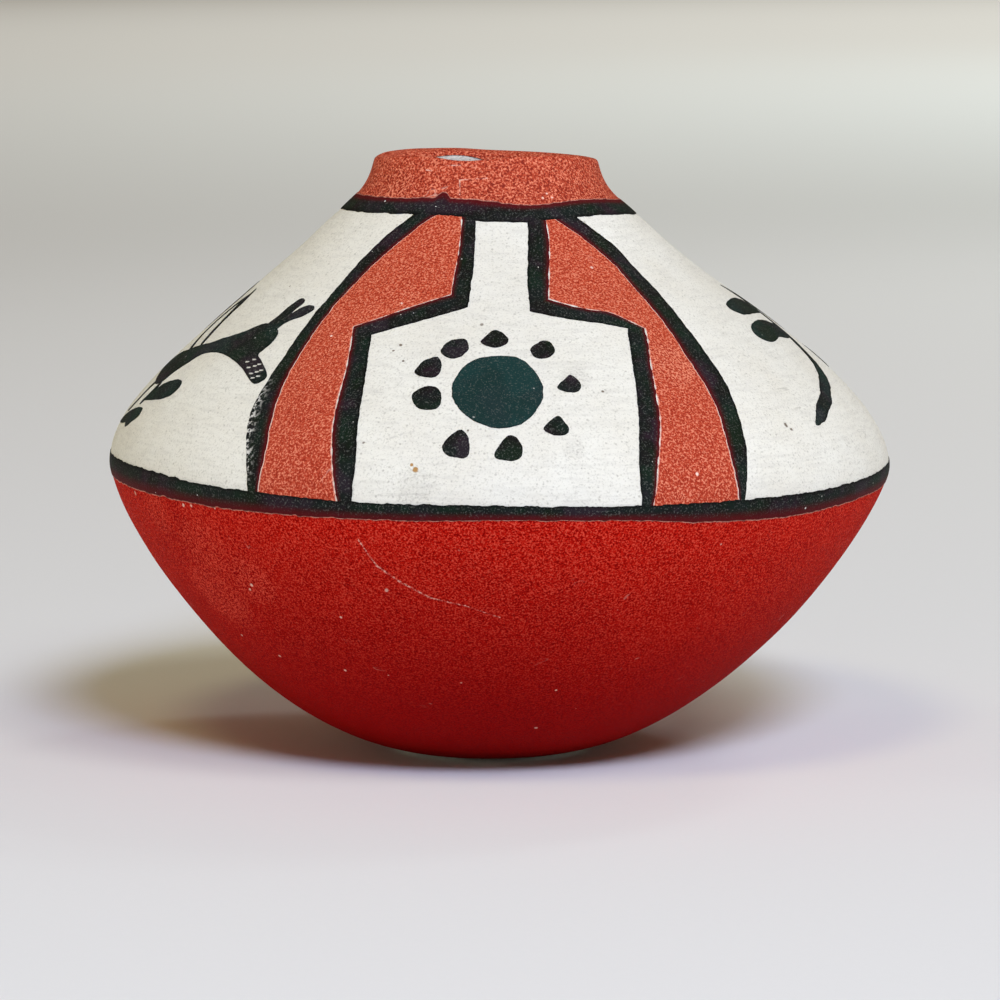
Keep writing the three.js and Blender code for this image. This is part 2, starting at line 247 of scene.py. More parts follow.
# Blends two colours by a share
def blend(tree, share, first, second, mode="MIX"):
    made = tree.nodes.new("ShaderNodeMix")
    made.data_type = "RGBA"
    made.blend_type = mode
    for i, value in ((0, share), (6, first), (7, second)):
        if isinstance(value, bpy.types.NodeSocket):
            tree.links.new(value, made.inputs[i])
        elif i:
            made.inputs[i].default_value = (*value, 1)
        else:
            made.inputs[i].default_value = value
    return made.outputs[2]


def rangeOf(tree, value, fromLow, fromHigh, toLow=0.0, toHigh=1.0, kind="SMOOTHSTEP"):
    places = {"Value": value, "From Min": fromLow, "From Max": fromHigh, "To Min": toLow, "To Max": toHigh}
    return addNode(tree, "ShaderNodeMapRange", places, interpolation_type=kind).outputs[0]


# Reads a value that the mesh of a painted mark carries
def meshValue(tree, key):
    return addNode(tree, "ShaderNodeAttribute", attribute_name=key).outputs["Fac"]


# A node group with inputs as {label: first value} and one output
def newGroup(name, inputs, output):
    group = bpy.data.node_groups.new(name, "ShaderNodeTree")
    for label, value in inputs.items():
        kind = "NodeSocketVector" if isinstance(value, tuple) else "NodeSocketFloat"
        group.interface.new_socket(label, in_out="INPUT", socket_type=kind).default_value = value
    group.interface.new_socket(output, in_out="OUTPUT", socket_type="NodeSocketFloat")
    return group, group.nodes.new("NodeGroupInput").outputs, group.nodes.new("NodeGroupOutput")


def useGroup(tree, group, **inputs):
    spaced = {key[0].upper() + key[1:]: value for key, value in inputs.items()}
    return addNode(tree, "ShaderNodeGroup", spaced, node_tree=group).outputs


def vectorStep(tree, operation, first, second):
    return addNode(tree, "ShaderNodeVectorMath", {0: first, 1: second}, operation=operation).outputs


def scaledBy(tree, vector, share):
    return addNode(tree, "ShaderNodeVectorMath", {0: vector, "Scale": share}, operation="SCALE").outputs[0]


# Object coordinates in millimetres, moved so that no two finishes share a pattern
def objectPlace(tree, shift, stretch=(1, 1, 1), turn=(0, 0, 0)):
    place = addNode(tree, "ShaderNodeTexCoord").outputs["Object"]
    return addNode(tree, "ShaderNodeMapping", {
        "Vector": place, "Location": shift, "Rotation": turn,
        "Scale": [side / mm for side in stretch]}).outputs[0]


origin = (0, 0, 0)
groupLook = {
    "grainDetail": 3.0,
    "spotDetail": 2.0, "spotTear": (0.25, 0.25, 0.25), "spotLeast": 0.4, "spotCore": 0.55,
    "blemishSize": 2.2, "blemishDetail": 2.0,
    "lineDetail": 4.0, "lineRoughness": 0.65, "lineKept": (0.55, 0.68),
    "skipSize": 1.7, "skipDetail": 2.0, "skipKept": (0.42, 0.56, 0.15, 1.0),
}


# Fine grain: a cloud of value about a half
def makeGrain():
    group, given, result = newGroup("grain", {
        "Place": origin, "Size": 1.0, "Roughness": 0.6, "Contrast": 1.0}, "Value")
    scale = calculate(group, "DIVIDE", 1.0, given["Size"])
    cloud = addNode(group, "ShaderNodeTexNoise", {
        "Vector": given["Place"], "Scale": scale, "Detail": groupLook["grainDetail"],
        "Roughness": given["Roughness"]})
    away = calculate(group, "SUBTRACT", cloud.outputs["Fac"], 0.5)
    wide = calculate(group, "MULTIPLY", away, given["Contrast"])
    group.links.new(calculate(group, "ADD", wide, 0.5, clamp=True), result.inputs["Value"])
    return group


# Scattered spots: one in each cell of a size, of which a share shows, each of its own width
def makeSpots():
    group, given, result = newGroup("spots", {
        "Place": origin, "Size": 1.0, "Share": 0.2, "Width": 0.3}, "Mask")
    scale = calculate(group, "DIVIDE", 1.0, given["Size"])
    torn = addNode(group, "ShaderNodeTexNoise", {
        "Vector": given["Place"], "Scale": scale, "Detail": groupLook["spotDetail"]})
    tear = vectorStep(group, "MULTIPLY", torn.outputs["Color"], groupLook["spotTear"])[0]
    moved = vectorStep(group, "ADD", given["Place"], scaledBy(group, tear, given["Size"]))[0]
    cells = addNode(group, "ShaderNodeTexVoronoi", {"Vector": moved, "Scale": scale})
    lots = addNode(group, "ShaderNodeSeparateColor", {"Color": cells.outputs["Color"]})
    shown = calculate(group, "LESS_THAN", lots.outputs[0], given["Share"])
    size = rangeOf(group, lots.outputs[1], 0.0, 1.0, groupLook["spotLeast"], 1.0, "LINEAR")
    radius = calculate(group, "MULTIPLY", size, given["Width"])
    inner = calculate(group, "MULTIPLY", radius, groupLook["spotCore"])
    spot = rangeOf(group, cells.outputs["Distance"], inner, radius, 1.0, 0.0)
    group.links.new(calculate(group, "MULTIPLY", spot, shown), result.inputs["Mask"])
    return group


# One spot at a known place on the jar
def makeBlemish():
    group, given, result = newGroup("blemish", {
        "Place": origin, "Centre": origin, "Reach": 1.0, "Soft": 0.5}, "Mask")
    away = vectorStep(group, "DISTANCE", given["Place"], given["Centre"])["Value"]
    ragged = addNode(group, "ShaderNodeTexNoise", {
        "Vector": given["Place"], "Scale": groupLook["blemishSize"], "Detail": groupLook["blemishDetail"]})
    shake = calculate(group, "SUBTRACT", ragged.outputs["Fac"], 0.5)
    tornAway = calculate(group, "ADD", away, calculate(group, "MULTIPLY", shake, given["Reach"]))
    inner = calculate(group, "SUBTRACT", 1.0, given["Soft"])
    edge = calculate(group, "MULTIPLY", inner, given["Reach"])
    group.links.new(rangeOf(group, tornAway, edge, given["Reach"], 1.0, 0.0), result.inputs["Mask"])
    return group


# Thin broken lines, as a brush or a scrape leaves them, along the stretched axis of their place
def makeScratches():
    group, given, result = newGroup("scratches", {
        "Place": origin, "Size": 1.0, "Fineness": 0.02}, "Mask")
    scale = calculate(group, "DIVIDE", 1.0, given["Size"])
    lines = addNode(group, "ShaderNodeTexNoise", {
        "Vector": given["Place"], "Scale": scale, "Detail": groupLook["lineDetail"],
        "Roughness": groupLook["lineRoughness"]})
    middle = calculate(group, "SUBTRACT", lines.outputs["Fac"], 0.5)
    away = calculate(group, "ABSOLUTE", middle)
    thin = rangeOf(group, away, 0.0, given["Fineness"], 1.0, 0.0)
    breaks = addNode(group, "ShaderNodeTexNoise", {"Vector": given["Place"], "Scale": scale, "Detail": 1.0})
    kept = rangeOf(group, breaks.outputs["Fac"], *groupLook["lineKept"])
    group.links.new(calculate(group, "MULTIPLY", thin, kept), result.inputs["Mask"])
    return group


# One straight scrape between two known places on the jar
def makeScrape():
    group, given, result = newGroup("scrape", {
        "Place": origin, "Start": origin, "End": origin, "Width": 0.2}, "Mask")
    line = vectorStep(group, "SUBTRACT", given["End"], given["Start"])["Vector"]
    fromStart = vectorStep(group, "SUBTRACT", given["Place"], given["Start"])["Vector"]
    reached = vectorStep(group, "DOT_PRODUCT", fromStart, line)["Value"]
    length = vectorStep(group, "DOT_PRODUCT", line, line)["Value"]
    share = calculate(group, "DIVIDE", reached, length, clamp=True)
    away = vectorStep(group, "DISTANCE", fromStart, scaledBy(group, line, share))["Value"]
    skips = addNode(group, "ShaderNodeTexNoise", {
        "Vector": given["Place"], "Scale": groupLook["skipSize"], "Detail": groupLook["skipDetail"]})
    broken = rangeOf(group, skips.outputs["Fac"], *groupLook["skipKept"])
    thin = rangeOf(group, away, 0.0, given["Width"], 1.0, 0.0)
    group.links.new(calculate(group, "MULTIPLY", thin, broken), result.inputs["Mask"])
    return group


grain = makeGrain()
spots = makeSpots()
blemish = makeBlemish()
scratches = makeScratches()
scrape = makeScrape()


# Colours the marks that stand at known places: scrapes as (start, end, width) and chips as (place, reach),
# each place in degrees round the jar and height
def addMarks(tree, colour, tint, scrapes, chips):
    plain = objectPlace(tree, (0, 0, 0))
    masks = []
    for start, end, width in scrapes:
        ends = [onWall(degrees, distanceAt(height), 0) for degrees, height in (start, end)]
        masks.append(useGroup(tree, scrape, place=plain, start=ends[0], end=ends[1], width=width)["Mask"])
    for (degrees, height), reach in chips:
        centre = onWall(degrees, distanceAt(height), 0)
        masks.append(useGroup(tree, blemish, place=plain, centre=centre, reach=reach, soft=0.5)["Mask"])
    for mask in masks:
        colour = blend(tree, mask, colour, tint)
    return colour


# A mask drawn from one range of its values to another, or times a plain share
def shareOf(tree, mask, amount):
    if isinstance(amount, tuple):
        return rangeOf(tree, mask, *amount)
    return calculate(tree, "MULTIPLY", mask, amount)


# Lays colours over one another, each by its mask
def layColours(tree, colour, look, masks):
    for mask, amount, tint in look["layers"]:
        colour = blend(tree, shareOf(tree, masks[mask], amount), colour, look[tint])
    return colour


# A finish with its patterns alone. Each place, read in millimetres, has a set of them.
def openFinish(name, look):
    material = bpy.data.materials.new(name)
    material.use_nodes = True
    tree = material.node_tree
    tree.nodes.clear()
    masks = {}
    for place, patterns in zip(look["places"], look["patterns"]):
        here = objectPlace(tree, *place)
        for key, (group, values) in patterns.items():
            masks[key] = useGroup(tree, group, place=here, **values)[0]
    return material, tree, masks


# Ends a finish: the shader with its colour, its roughness and a bump from its relief in millimetres.
# A roughness of two values follows the fine grain.
def closeFinish(material, colour, look, masks):
    tree = material.node_tree
    height = 0.0
    for mask, rise in look["relief"]:
        height = calculate(tree, "ADD", height, calculate(tree, "MULTIPLY", masks[mask], rise))
    bump = addNode(tree, "ShaderNodeBump", {"Height": height, "Strength": look["bump"], "Distance": mm})
    rough = look["roughness"]
    if isinstance(rough, tuple):
        rough = rangeOf(tree, masks["fine"], 0.0, 1.0, *rough)
    shader = addNode(tree, "ShaderNodeBsdfPrincipled", {
        "Base Color": colour, "Roughness": rough, "Normal": bump.outputs[0],
        "Specular IOR Level": look["gloss"]})
    addNode(tree, "ShaderNodeOutputMaterial", {"Surface": shader.outputs[0]})
    return material


clayLook = {
    "pale": (0.84, 0.81, 0.75), "dark": (0.68, 0.62, 0.52), "grit": (0.42, 0.36, 0.28),
    "places": [((31, 4, 9),)],
    "patterns": [{"cloud": (grain, {"size": 9.0, "contrast": 1.6}),
                  "fine": (grain, {"size": 0.5, "contrast": 2.0}),
                  "grit": (spots, {"size": 1.4, "share": 0.5, "width": 0.28})}],
    "layers": [("cloud", 1.0, "dark"), ("grit", 0.6, "grit"), ("fine", (0.3, 0.9, 0.0, 0.35), "dark")],
    "relief": [("fine", 0.12), ("grit", -0.1)], "roughness": (0.78, 0.92), "bump": 0.7, "gloss": 0.3,
}


def makeClay():
    material, tree, masks = openFinish("clay", clayLook)
    colour = layColours(tree, clayLook["pale"], clayLook, masks)
    return closeFinish(material, colour, clayLook, masks)


whiteLook = {
    "bright": (0.7, 0.69, 0.63), "warm": (0.63, 0.6, 0.52), "speck": (0.3, 0.28, 0.24),
    "pit": (0.16, 0.13, 0.1), "rust": (0.36, 0.2, 0.07), "streak": (0.52, 0.5, 0.45),
    "places": [((2, 17, 5),), ((7, 3, 0), (0.13, 0.13, 1), (0.05, 0.28, 0))],
    "patterns": [{"cloud": (grain, {"size": 11.0, "contrast": 1.5}),
                  "fine": (grain, {"size": 0.28, "contrast": 2.4}),
                  "speck": (spots, {"size": 0.75, "share": 0.5, "width": 0.3}),
                  "pit": (spots, {"size": 5.5, "share": 0.32, "width": 0.075})},
                 {"hair": (grain, {"size": 0.55, "contrast": 1.8}),
                  "scratched": (scratches, {"size": 5.0, "fineness": 0.012})}],
    "layers": [("cloud", 1.0, "warm"), ("hair", (0.35, 1.0, 0.0, 0.5), "streak"),
               ("fine", (0.5, 1.0, 0.0, 0.45), "speck"), ("speck", 0.5, "speck"),
               ("scratched", 0.7, "speck"), ("pit", 0.8, "pit")],
    "relief": [("fine", 0.05), ("hair", 0.05), ("pit", -0.12)],
    "roughness": (0.6, 0.8), "bump": 0.6, "gloss": 0.2,
    "rustPits": [((-11.6, 45.8), 0.5), ((-12.2, 46.4), 0.3)],
    "darkPits": [((49.5, 49.6), 0.42), ((50.2, 49), 0.34), ((18, 55.2), 0.26), ((-18.3, 60.8), 0.3),
                 ((-16.9, 58.9), 0.24), ((-19.4, 60.1), 0.22), ((-4.3, 50.7), 0.2)],
    "scrapes": [((-15.8, 49.6), (-14.2, 50.1), 0.28), ((-14.2, 50.1), (-12.3, 50.5), 0.22),
                ((-17.6, 58), (-16.6, 57.2), 0.2)],
    "smudges": [((11.1, 48.1), 1.9), ((-11.6, 43.8), 3.2), ((14, 57), 2.6)], "smudgeShare": 0.35,
}


def makeWhiteSlip():
    material, tree, masks = openFinish("whiteSlip", whiteLook)
    colour = layColours(tree, whiteLook["bright"], whiteLook, masks)
    smudged = addMarks(tree, colour, whiteLook["speck"], [], whiteLook["smudges"])
    colour = blend(tree, shareOf(tree, masks["fine"], whiteLook["smudgeShare"]), colour, smudged)
    colour = addMarks(tree, colour, whiteLook["streak"], whiteLook["scrapes"], [])
    colour = addMarks(tree, colour, whiteLook["rust"], [], whiteLook["rustPits"])
    colour = addMarks(tree, colour, whiteLook["pit"], [], whiteLook["darkPits"])
    return closeFinish(material, colour, whiteLook, masks)


# A red slip or paint: its plain colour with a lighter sparkle of grain, pale specks, and lighter patches that
# are in part scuffs and in part a painted highlight. Each red grows lighter towards the top of its span, in
# part its own tone and in part painted light from above, and on the underbody the sparkle fades towards the
# bottom as painted shade. What the three of them share comes first.
redLook = {
    "slant": ((0.35, 1, 0.35), (0.3, 0.7, 0)),
    # The first layer makes the red lighter towards the top: in part its own tone, in part painted light from
    # above
    "layers": [("climb", 1.0, "bright"), ("cloud", (0.35, 1.0, 0.0, 0.35), "deep"),
               ("fine", (0.45, 0.0, 0.0, 0.85), "pore"), ("sparkle", 1.0, "sparkle"),
               ("liveSpeck", 0.55, "sparkle"), ("rim", 0.8, "speck"), ("pale", 0.75, "speck")],
    "sparkleFrom": 0.55, "scratchShare": 0.7, "scuffAndHighlightAmount": (0.45, 0.75, 0.0, 0.8),
    "scrapeFrom": (0.2, 0.7), "scrapeMost": 0.9, "bump": 0.7,
}
underbodyLook = {
    # From the low height to the high one the red turns from deep to bright, in part painted light from above,
    # and its sparkle is dimmed at the bottom as painted shade
    "deep": (0.28, 0.0004, 0.0008), "bright": (0.5, 0.008, 0.003), "sparkle": (0.66, 0.07, 0.04),
    "speck": (0.75, 0.42, 0.33), "pore": (0.17, 0.0003, 0.0006), "low": 6.0, "high": 40.0,
    "sparkleShare": 0.8, "lowShadedSparkle": 0.15, "grainSize": 0.26, "speckSize": 0.9, "speckShare": 0.4,
    "relief": [("fine", 0.09), ("speck", 0.04)], "roughness": (0.63, 0.8), "gloss": 0.02,
    # Lighter speckled patches on the left of the underbody: a painted highlight where light falls from the
    # left
    "scuffsAndHighlights": [((-50, 33), 6), ((-53, 26), 7), ((-42, 29), 5), ((-60, 37), 4)],
    "scrapes": [((-20.3, 36.2), (-18.1, 32.6), 0.2), ((-18.1, 32.6), (-14.8, 30.4), 0.26),
                ((-14.8, 30.4), (-10.4, 28.2), 0.24), ((-10.4, 28.2), (-4.9, 27.1), 0.18),
                ((-4.9, 27.1), (0.6, 25.4), 0.14)],
    "scrapeShare": 0.1,
    "chips": [((-42.5, 28.2), 0.34), ((-43.4, 27.5), 0.26), ((-26.6, 24.6), 0.24), ((-30.8, 16.2), 0.24),
              ((13.5, 13.8), 0.2), ((-49.6, 38.9), 0.3), ((-51.5, 38.8), 0.34), ((-44.4, 39), 0.2)],
}
neckLook = {
    "deep": (0.36, 0.04, 0.018), "bright": (0.48, 0.062, 0.026), "sparkle": (0.7, 0.21, 0.12),
    "speck": (0.82, 0.5, 0.4), "pore": (0.15, 0.008, 0.004), "low": 76.0, "high": 84.0,
    "sparkleShare": 0.95, "lowShadedSparkle": 1.0, "grainSize": 0.3, "speckSize": 1.0, "speckShare": 0.5,
    "relief": [("fine", 0.12), ("speck", 0.04)], "roughness": (0.63, 0.8), "gloss": 0.1,
    "scuffsAndHighlights": [((-45, 79.5), 3)],
    "scrapes": [((-11.7, 79.6), (-12.5, 81.5), 0.17), ((-12.5, 81.5), (0.7, 81.6), 0.15),
                ((-19.7, 83.3), (-12.4, 83.5), 0.15), ((-30.7, 82.3), (-27.4, 82.3), 0.13)],
    "scrapeShare": 0.6,
    "chips": [((25.8, 78.8), 0.26), ((28.5, 79.3), 0.22), ((30.4, 78.8), 0.2)],
}
lobeLook = {
    "deep": (0.42, 0.046, 0.02), "bright": (0.48, 0.066, 0.028), "sparkle": (0.68, 0.22, 0.13),
    "speck": (0.85, 0.6, 0.5), "pore": (0.24, 0.018, 0.008), "low": 40.0, "high": 66.0,
    "sparkleShare": 0.85, "lowShadedSparkle": 1.0, "grainSize": 0.27, "speckSize": 1.0, "speckShare": 0.4,
    "relief": [("fine", 0.09), ("speck", 0.04)], "roughness": (0.68, 0.85), "gloss": 0.08,
    "scuffsAndHighlights": [((34, 58), 5)], "scrapes": [], "scrapeShare": 0.0,
    "chips": [((30.9, 61), 0.25), ((28.9, 44.6), 0.3), ((-34.2, 61.5), 0.22), ((46, 65.5), 0.22)],
}


def makeRed(name, shift, ownLook):
    look = {**redLook, **ownLook, "places": [(shift,), (shift, *redLook["slant"])]}
    look["patterns"] = [
        {"cloud": (grain, {"size": 8.0, "contrast": 1.8}),
         "fine": (grain, {"size": look["grainSize"], "contrast": 4.6}),
         "speck": (spots, {"size": look["speckSize"], "share": look["speckShare"], "width": 0.26}),
         "fleck": (spots, {"size": 5.0, "share": 0.3, "width": 0.08})},
        {"scratched": (scratches, {"size": 7.0, "fineness": 0.01})}]
    material, tree, masks = openFinish(name, look)
    height = addNode(tree, "ShaderNodeSeparateXYZ", {"Vector": objectPlace(tree, (0, 0, 0))}).outputs["Z"]
    # Lighter towards the top of each red's span: in part the slip's own tone, in part painted light falling
    # from above
    masks["climb"] = rangeOf(tree, height, look["low"], look["high"])
    # The lighter grain fades towards the bottom of the underbody: painted shade there
    sparkleLitByHeight = rangeOf(tree, height, look["low"], look["high"], look["lowShadedSparkle"], 1.0)
    glitter = rangeOf(tree, masks["fine"], look["sparkleFrom"], 1.0, 0.0, look["sparkleShare"])
    masks["sparkle"] = calculate(tree, "MULTIPLY", sparkleLitByHeight, glitter)
    masks["liveSpeck"] = calculate(tree, "MULTIPLY", masks["speck"], sparkleLitByHeight)
    masks["rim"] = meshValue(tree, "rim")
    scratched = calculate(tree, "MULTIPLY", masks["scratched"], look["scratchShare"])
    masks["pale"] = calculate(tree, "MAXIMUM", masks["fleck"], scratched)
    colour = layColours(tree, look["deep"], look, masks)
    # Lighter patches in the sparkle's colour: scuffs, and on the underbody a painted highlight
    scuffedAndLit = addMarks(tree, colour, look["sparkle"], [], look["scuffsAndHighlights"])
    colour = blend(tree, shareOf(tree, masks["fine"], look["scuffAndHighlightAmount"]), colour, scuffedAndLit)
    scraped = addMarks(tree, colour, look["speck"], look["scrapes"], [])
    scrapeAmount = (*look["scrapeFrom"], look["scrapeShare"], look["scrapeMost"])
    colour = blend(tree, shareOf(tree, masks["fine"], scrapeAmount), colour, scraped)
    colour = addMarks(tree, colour, look["speck"], [], look["chips"])
    return closeFinish(material, colour, look, masks)


blackLook = {
    "body": (0.006, 0.006, 0.005), "green": (0.005, 0.011, 0.005), "teal": (0.008, 0.031, 0.029),
    "plum": (0.018, 0.009, 0.014), "rim": (0.002, 0.002, 0.002), "stain": (0.085, 0.003, 0.005),
    "dust": (0.2, 0.205, 0.18), "edge": (0.62, 0.27, 0.2), "hole": (0.75, 0.73, 0.68),
    "patterns": [{"cloud": (grain, {"size": 7.0, "contrast": 2.2}),
                  "fine": (grain, {"size": 0.24, "contrast": 3.2}),
                  "hole": (spots, {"size": 2.1, "share": 0.4, "width": 0.1}),
                  "flaking": (grain, {"size": 0.7, "contrast": 2.6})},
                 {"other": (grain, {"size": 6.0, "contrast": 2.2})}],
    "otherPlace": (50, 9, 1), "goneFrom": (0.5, 0.8), "paleFrom": (0.3, 0.6, 0.35, 1.0),
    "relief": [("fine", 0.06), ("bare", -0.05)], "roughness": (0.55, 0.75), "bump": 0.6, "gloss": 0.05,
}


# Black paint. The share of teal and of dust is set for each kind of mark; rim and stain come with the mesh.
def makeBlack(name, shift, teal, dusty, wear):
    look = {**blackLook, "places": [(shift,), (blackLook["otherPlace"],)]}
    look["layers"] = [
        ("other", (0.5, 0.8), "plum"), ("other", (0.5, 0.2), "green"), ("cloud", (0.3, 0.7, *teal), "teal"),
        ("fine", (0.66, 1.0, 0.0, dusty), "dust"), ("rim", 0.8, "rim"), ("stain", 0.85, "stain"),
        ("bare", 1.0, "hole"), ("paleEdge", 1.0, "edge")]
    material, tree, masks = openFinish(name, look)
    for key in ("rim", "stain", "worn", "pale"):
        masks[key] = meshValue(tree, key)
    gone = calculate(tree, "MULTIPLY", masks["worn"], rangeOf(tree, masks["flaking"], *look["goneFrom"]))
    holes = calculate(tree, "MULTIPLY", masks["hole"], wear)
    masks["bare"] = calculate(tree, "MAXIMUM", holes, gone)
    broken = rangeOf(tree, masks["flaking"], *look["paleFrom"])
    masks["paleEdge"] = calculate(tree, "MULTIPLY", masks["pale"], broken)
    colour = layColours(tree, look["body"], look, masks)
    return closeFinish(material, colour, look, masks)


clay = makeClay()
whiteSlip = makeWhiteSlip()
redUnderbody = makeRed("redUnderbody", (5, 11, 3), underbodyLook)
redNeck = makeRed("redNeck", (9, 1, 14), neckLook)
redLobe = makeRed("redLobe", (3, 6, 22), lobeLook)
blackLine = makeBlack("blackLine", (1, 8, 2), (0.0, 0.15), 0.32, 0.9)
blackSun = makeBlack("blackSun", (6, 2, 8), (0.75, 1.0), 0.25, 0.35)
blackFigure = makeBlack("blackFigure", (4, 12, 6), (0.1, 0.4), 0.4, 0.6)
print("finishes made")


# Clay: the base pat and the coils on it, each pressed down inside the one below

coils = {
    "patWidth": 14, "lowerCount": 4, "upperCount": 4, "shoulderWidth": 12, "neckWidth": 6.4,
    "seamLap": 3, "seamGap": 0.08, "ridge": 0.5, "ridgeFullness": 0.8, "ridgeSteps": 8, "lipInsideSteps": 4,
    "steps": 144, "coatDepth": 0.52,
}
slip = {
    "thickness": 0.5, "footBare": 4, "meetGap": 0.06, "lipShare": 0.86, "thinFrom": 0.5, "thinnest": 0.06,
    "edgeProud": 0.08, "step": 0.6, "steps": 288,
}


def clayInside(distance, ridge=0.0):
    upNeck = smoothStep(distance, neckFootDistance, rimDistance)
    thin = wall["lipThickness"] - coils["coatDepth"]
    thickness = wall["thickness"] + (thin - wall["thickness"]) * upNeck
    return wallAt(distance, -(coils["coatDepth"] + thickness + ridge))


def coilSection(start, end):
    low, high = start + coils["seamGap"] / 2, end - coils["seamGap"] / 2
    inside = []
    for i in range(coils["ridgeSteps"] + 1):
        share = i / coils["ridgeSteps"]
        ridge = math.sin(math.pi * share) ** coils["ridgeFullness"] * coils["ridge"]
        inside.append(clayInside(high - coils["seamLap"] + (low - high) * share, ridge))
    return wallChain(low, high, -coils["coatDepth"]) + inside


# The flat-topped lip with its outer corner left sharp. The slip on it thins out towards the inside.
def lipTop(depth):
    half = wall["lipThickness"] / 2
    middle = wallAt(rimDistance - wall["lipRise"], -half)
    out = (wallAt(rimDistance - wall["lipRise"], 0) - middle).normalized()
    up = Vector((-out.y, out.x))
    points = []
    for i in range(wall["lipSteps"] + 1):
        turn = math.pi * i / wall["lipSteps"]
        across = math.copysign(abs(math.cos(turn)) ** wall["lipSquareness"], math.cos(turn))
        rise = math.sin(turn) ** wall["lipSquareness"] if 0 < i < wall["lipSteps"] else 0
        thinned = smoothStep(i / wall["lipSteps"], slip["thinFrom"], slip["lipShare"])
        deep = depth * max(1 - thinned, slip["thinnest"])
        points.append(middle + out * across * (half - deep) + up * rise * (wall["lipCrown"] - deep))
    return points


def addClay():
    patTop = coils["patWidth"] - coils["seamGap"] / 2
    inner = clayInside(0)
    pat = [Vector((0, 0)), *wallChain(0, slip["footBare"], 0),
           *wallChain(slip["footBare"], patTop, -coils["coatDepth"]),
           clayInside(patTop - coils["seamLap"]), clayInside(slip["footBare"]), inner, Vector((0, inner.y))]
    addPiece("basePat", turned(pat, coils["steps"], ring=False), [clay], ["base_pat"])
    lowerEnd = shoulderDistance - coils["shoulderWidth"] / 2
    upperStart = shoulderDistance + coils["shoulderWidth"] / 2
    neckEnd = neckFootDistance + coils["neckWidth"]
    lowerWidth = (lowerEnd - coils["patWidth"]) / coils["lowerCount"]
    upperWidth = (neckFootDistance - upperStart) / coils["upperCount"]
    spans = [("shoulderCoil", "shoulder_coil", lowerEnd, upperStart),
             ("neckCoil", "neck_coil", neckFootDistance, neckEnd)]
    for i in range(coils["lowerCount"]):
        start = coils["patWidth"] + i * lowerWidth
        spans.append((f"lowerCoil{i + 1}", f"lower_coil_{i + 1}", start, start + lowerWidth))
    for i in range(coils["upperCount"]):
        start = upperStart + i * upperWidth
        spans.append((f"upperCoil{i + 1}", f"upper_coil_{i + 1}", start, start + upperWidth))
    for name, node, start, end in spans:
        addPiece(name, turned(coilSection(start, end), coils["steps"]), [clay], [node])
    lipStart = neckEnd + coils["seamGap"] / 2
    top = lipTop(coils["coatDepth"])
    outside = wallChain(lipStart, rimDistance - wall["lipRise"] - wall["lipStart"], -coils["coatDepth"])
    inside = clayInside(lipStart - coils["seamLap"])
    steps = coils["lipInsideSteps"]
    lipCoil = outside + top + [top[-1].lerp(inside, i / steps) for i in range(1, steps + 1)]
    addPiece("lipCoil", turned(lipCoil, coils["steps"]), [clay], ["lip_coil"])


# Coats of slip. The red and the white meet under the painted bands.
bands = {"shoulderMiddle": 40.2, "neckMiddle": 77.3}


def coatSection(start, end):
    return wallChain(start, end, 0) + wallChain(end, start, -slip["thickness"])


def addSlips():
    shoulderMeet = distanceAt(bands["shoulderMiddle"])
    neckMeet = distanceAt(bands["neckMiddle"])
    apart = slip["meetGap"] / 2
    under = turned(coatSection(slip["footBare"], shoulderMeet - apart), slip["steps"])
    addPiece("redCoat", under, [redUnderbody], ["red_slip_underbody"])
    white = turned(coatSection(shoulderMeet + apart, neckMeet - apart), slip["steps"])
    addPiece("whiteCoat", white, [whiteSlip], ["white_slip_shoulder"])
    lipFoot = rimDistance - wall["lipRise"] - wall["lipStart"]
    over = round(wall["lipSteps"] * slip["lipShare"]) + 1
    outer, inner = lipTop(0)[:over], lipTop(slip["thickness"])[:over]
    overLip = (wallChain(neckMeet + apart, lipFoot, 0, slip["step"]) + outer
               + inner[::-1] + wallChain(lipFoot, neckMeet + apart, -slip["thickness"], slip["step"]))
    edgeRadius = (outer[-1].x + outer[-2].x) / 2

    def runDown(point):
        if point.xy.length > edgeRadius:
            return handShaped(point)
        drop = readRound(slipEdge, math.degrees(math.atan2(point.x, -point.y)))
        proud = point.xy.normalized().to_3d() * slip["edgeProud"]
        return handShaped(point - proud) - Vector((0, 0, drop))

    neck = turned(overLip, slip["steps"], shape=runDown)
    addPiece("neckCoat", neck, [redNeck], ["red_slip_neck"])


addClay()
addSlips()
print("clay and slip made")


# Painted marks. A place on the pattern is degrees round the jar and a height on the panel,
# from 0 at the shoulder band to 1 at the neck band.

panel = {"bottom": distanceAt(41.3), "top": distanceAt(76.1)}
paint = {
    "lobeLift": (0.03, 0.05), "lineLift": (0.05, 0.1), "bandLift": (0.08, 0.13), "depth": 0.12,
    "rowStep": 0.3, "cellSize": 1.0, "outlineStep": 0.3, "hairGap": 0.05, "rimWidth": 0.16,
    "wobbleSize": 1.3, "wobble": 0.13, "ragSize": 0.4, "rag": 0.08, "stained": (0.02, 0.24),
    "leastTorn": 0.4, "lobeDepth": 0.07, "lobeOverTop": 1.4, "lobeUnderBottom": 0.8, "hairSize": 2.3,
    "discCell": 0.7,
    "figureCell": 0.8, "cutReach": 0.0005, "thinnest": 0.05, "smallest": 0.5,
}
# Where the columns of a stroke lie across it, and how much of each is its dark rim
acrossAt = [0, 0.06, 0.17, 0.34, 0.5, 0.66, 0.83, 0.94, 1]
rimAt = [1, 0.7, 0.1, 0, 0, 0, 0.1, 0.7, 1]


def panelDistance(height):
    return panel["bottom"] + height * (panel["top"] - panel["bottom"])


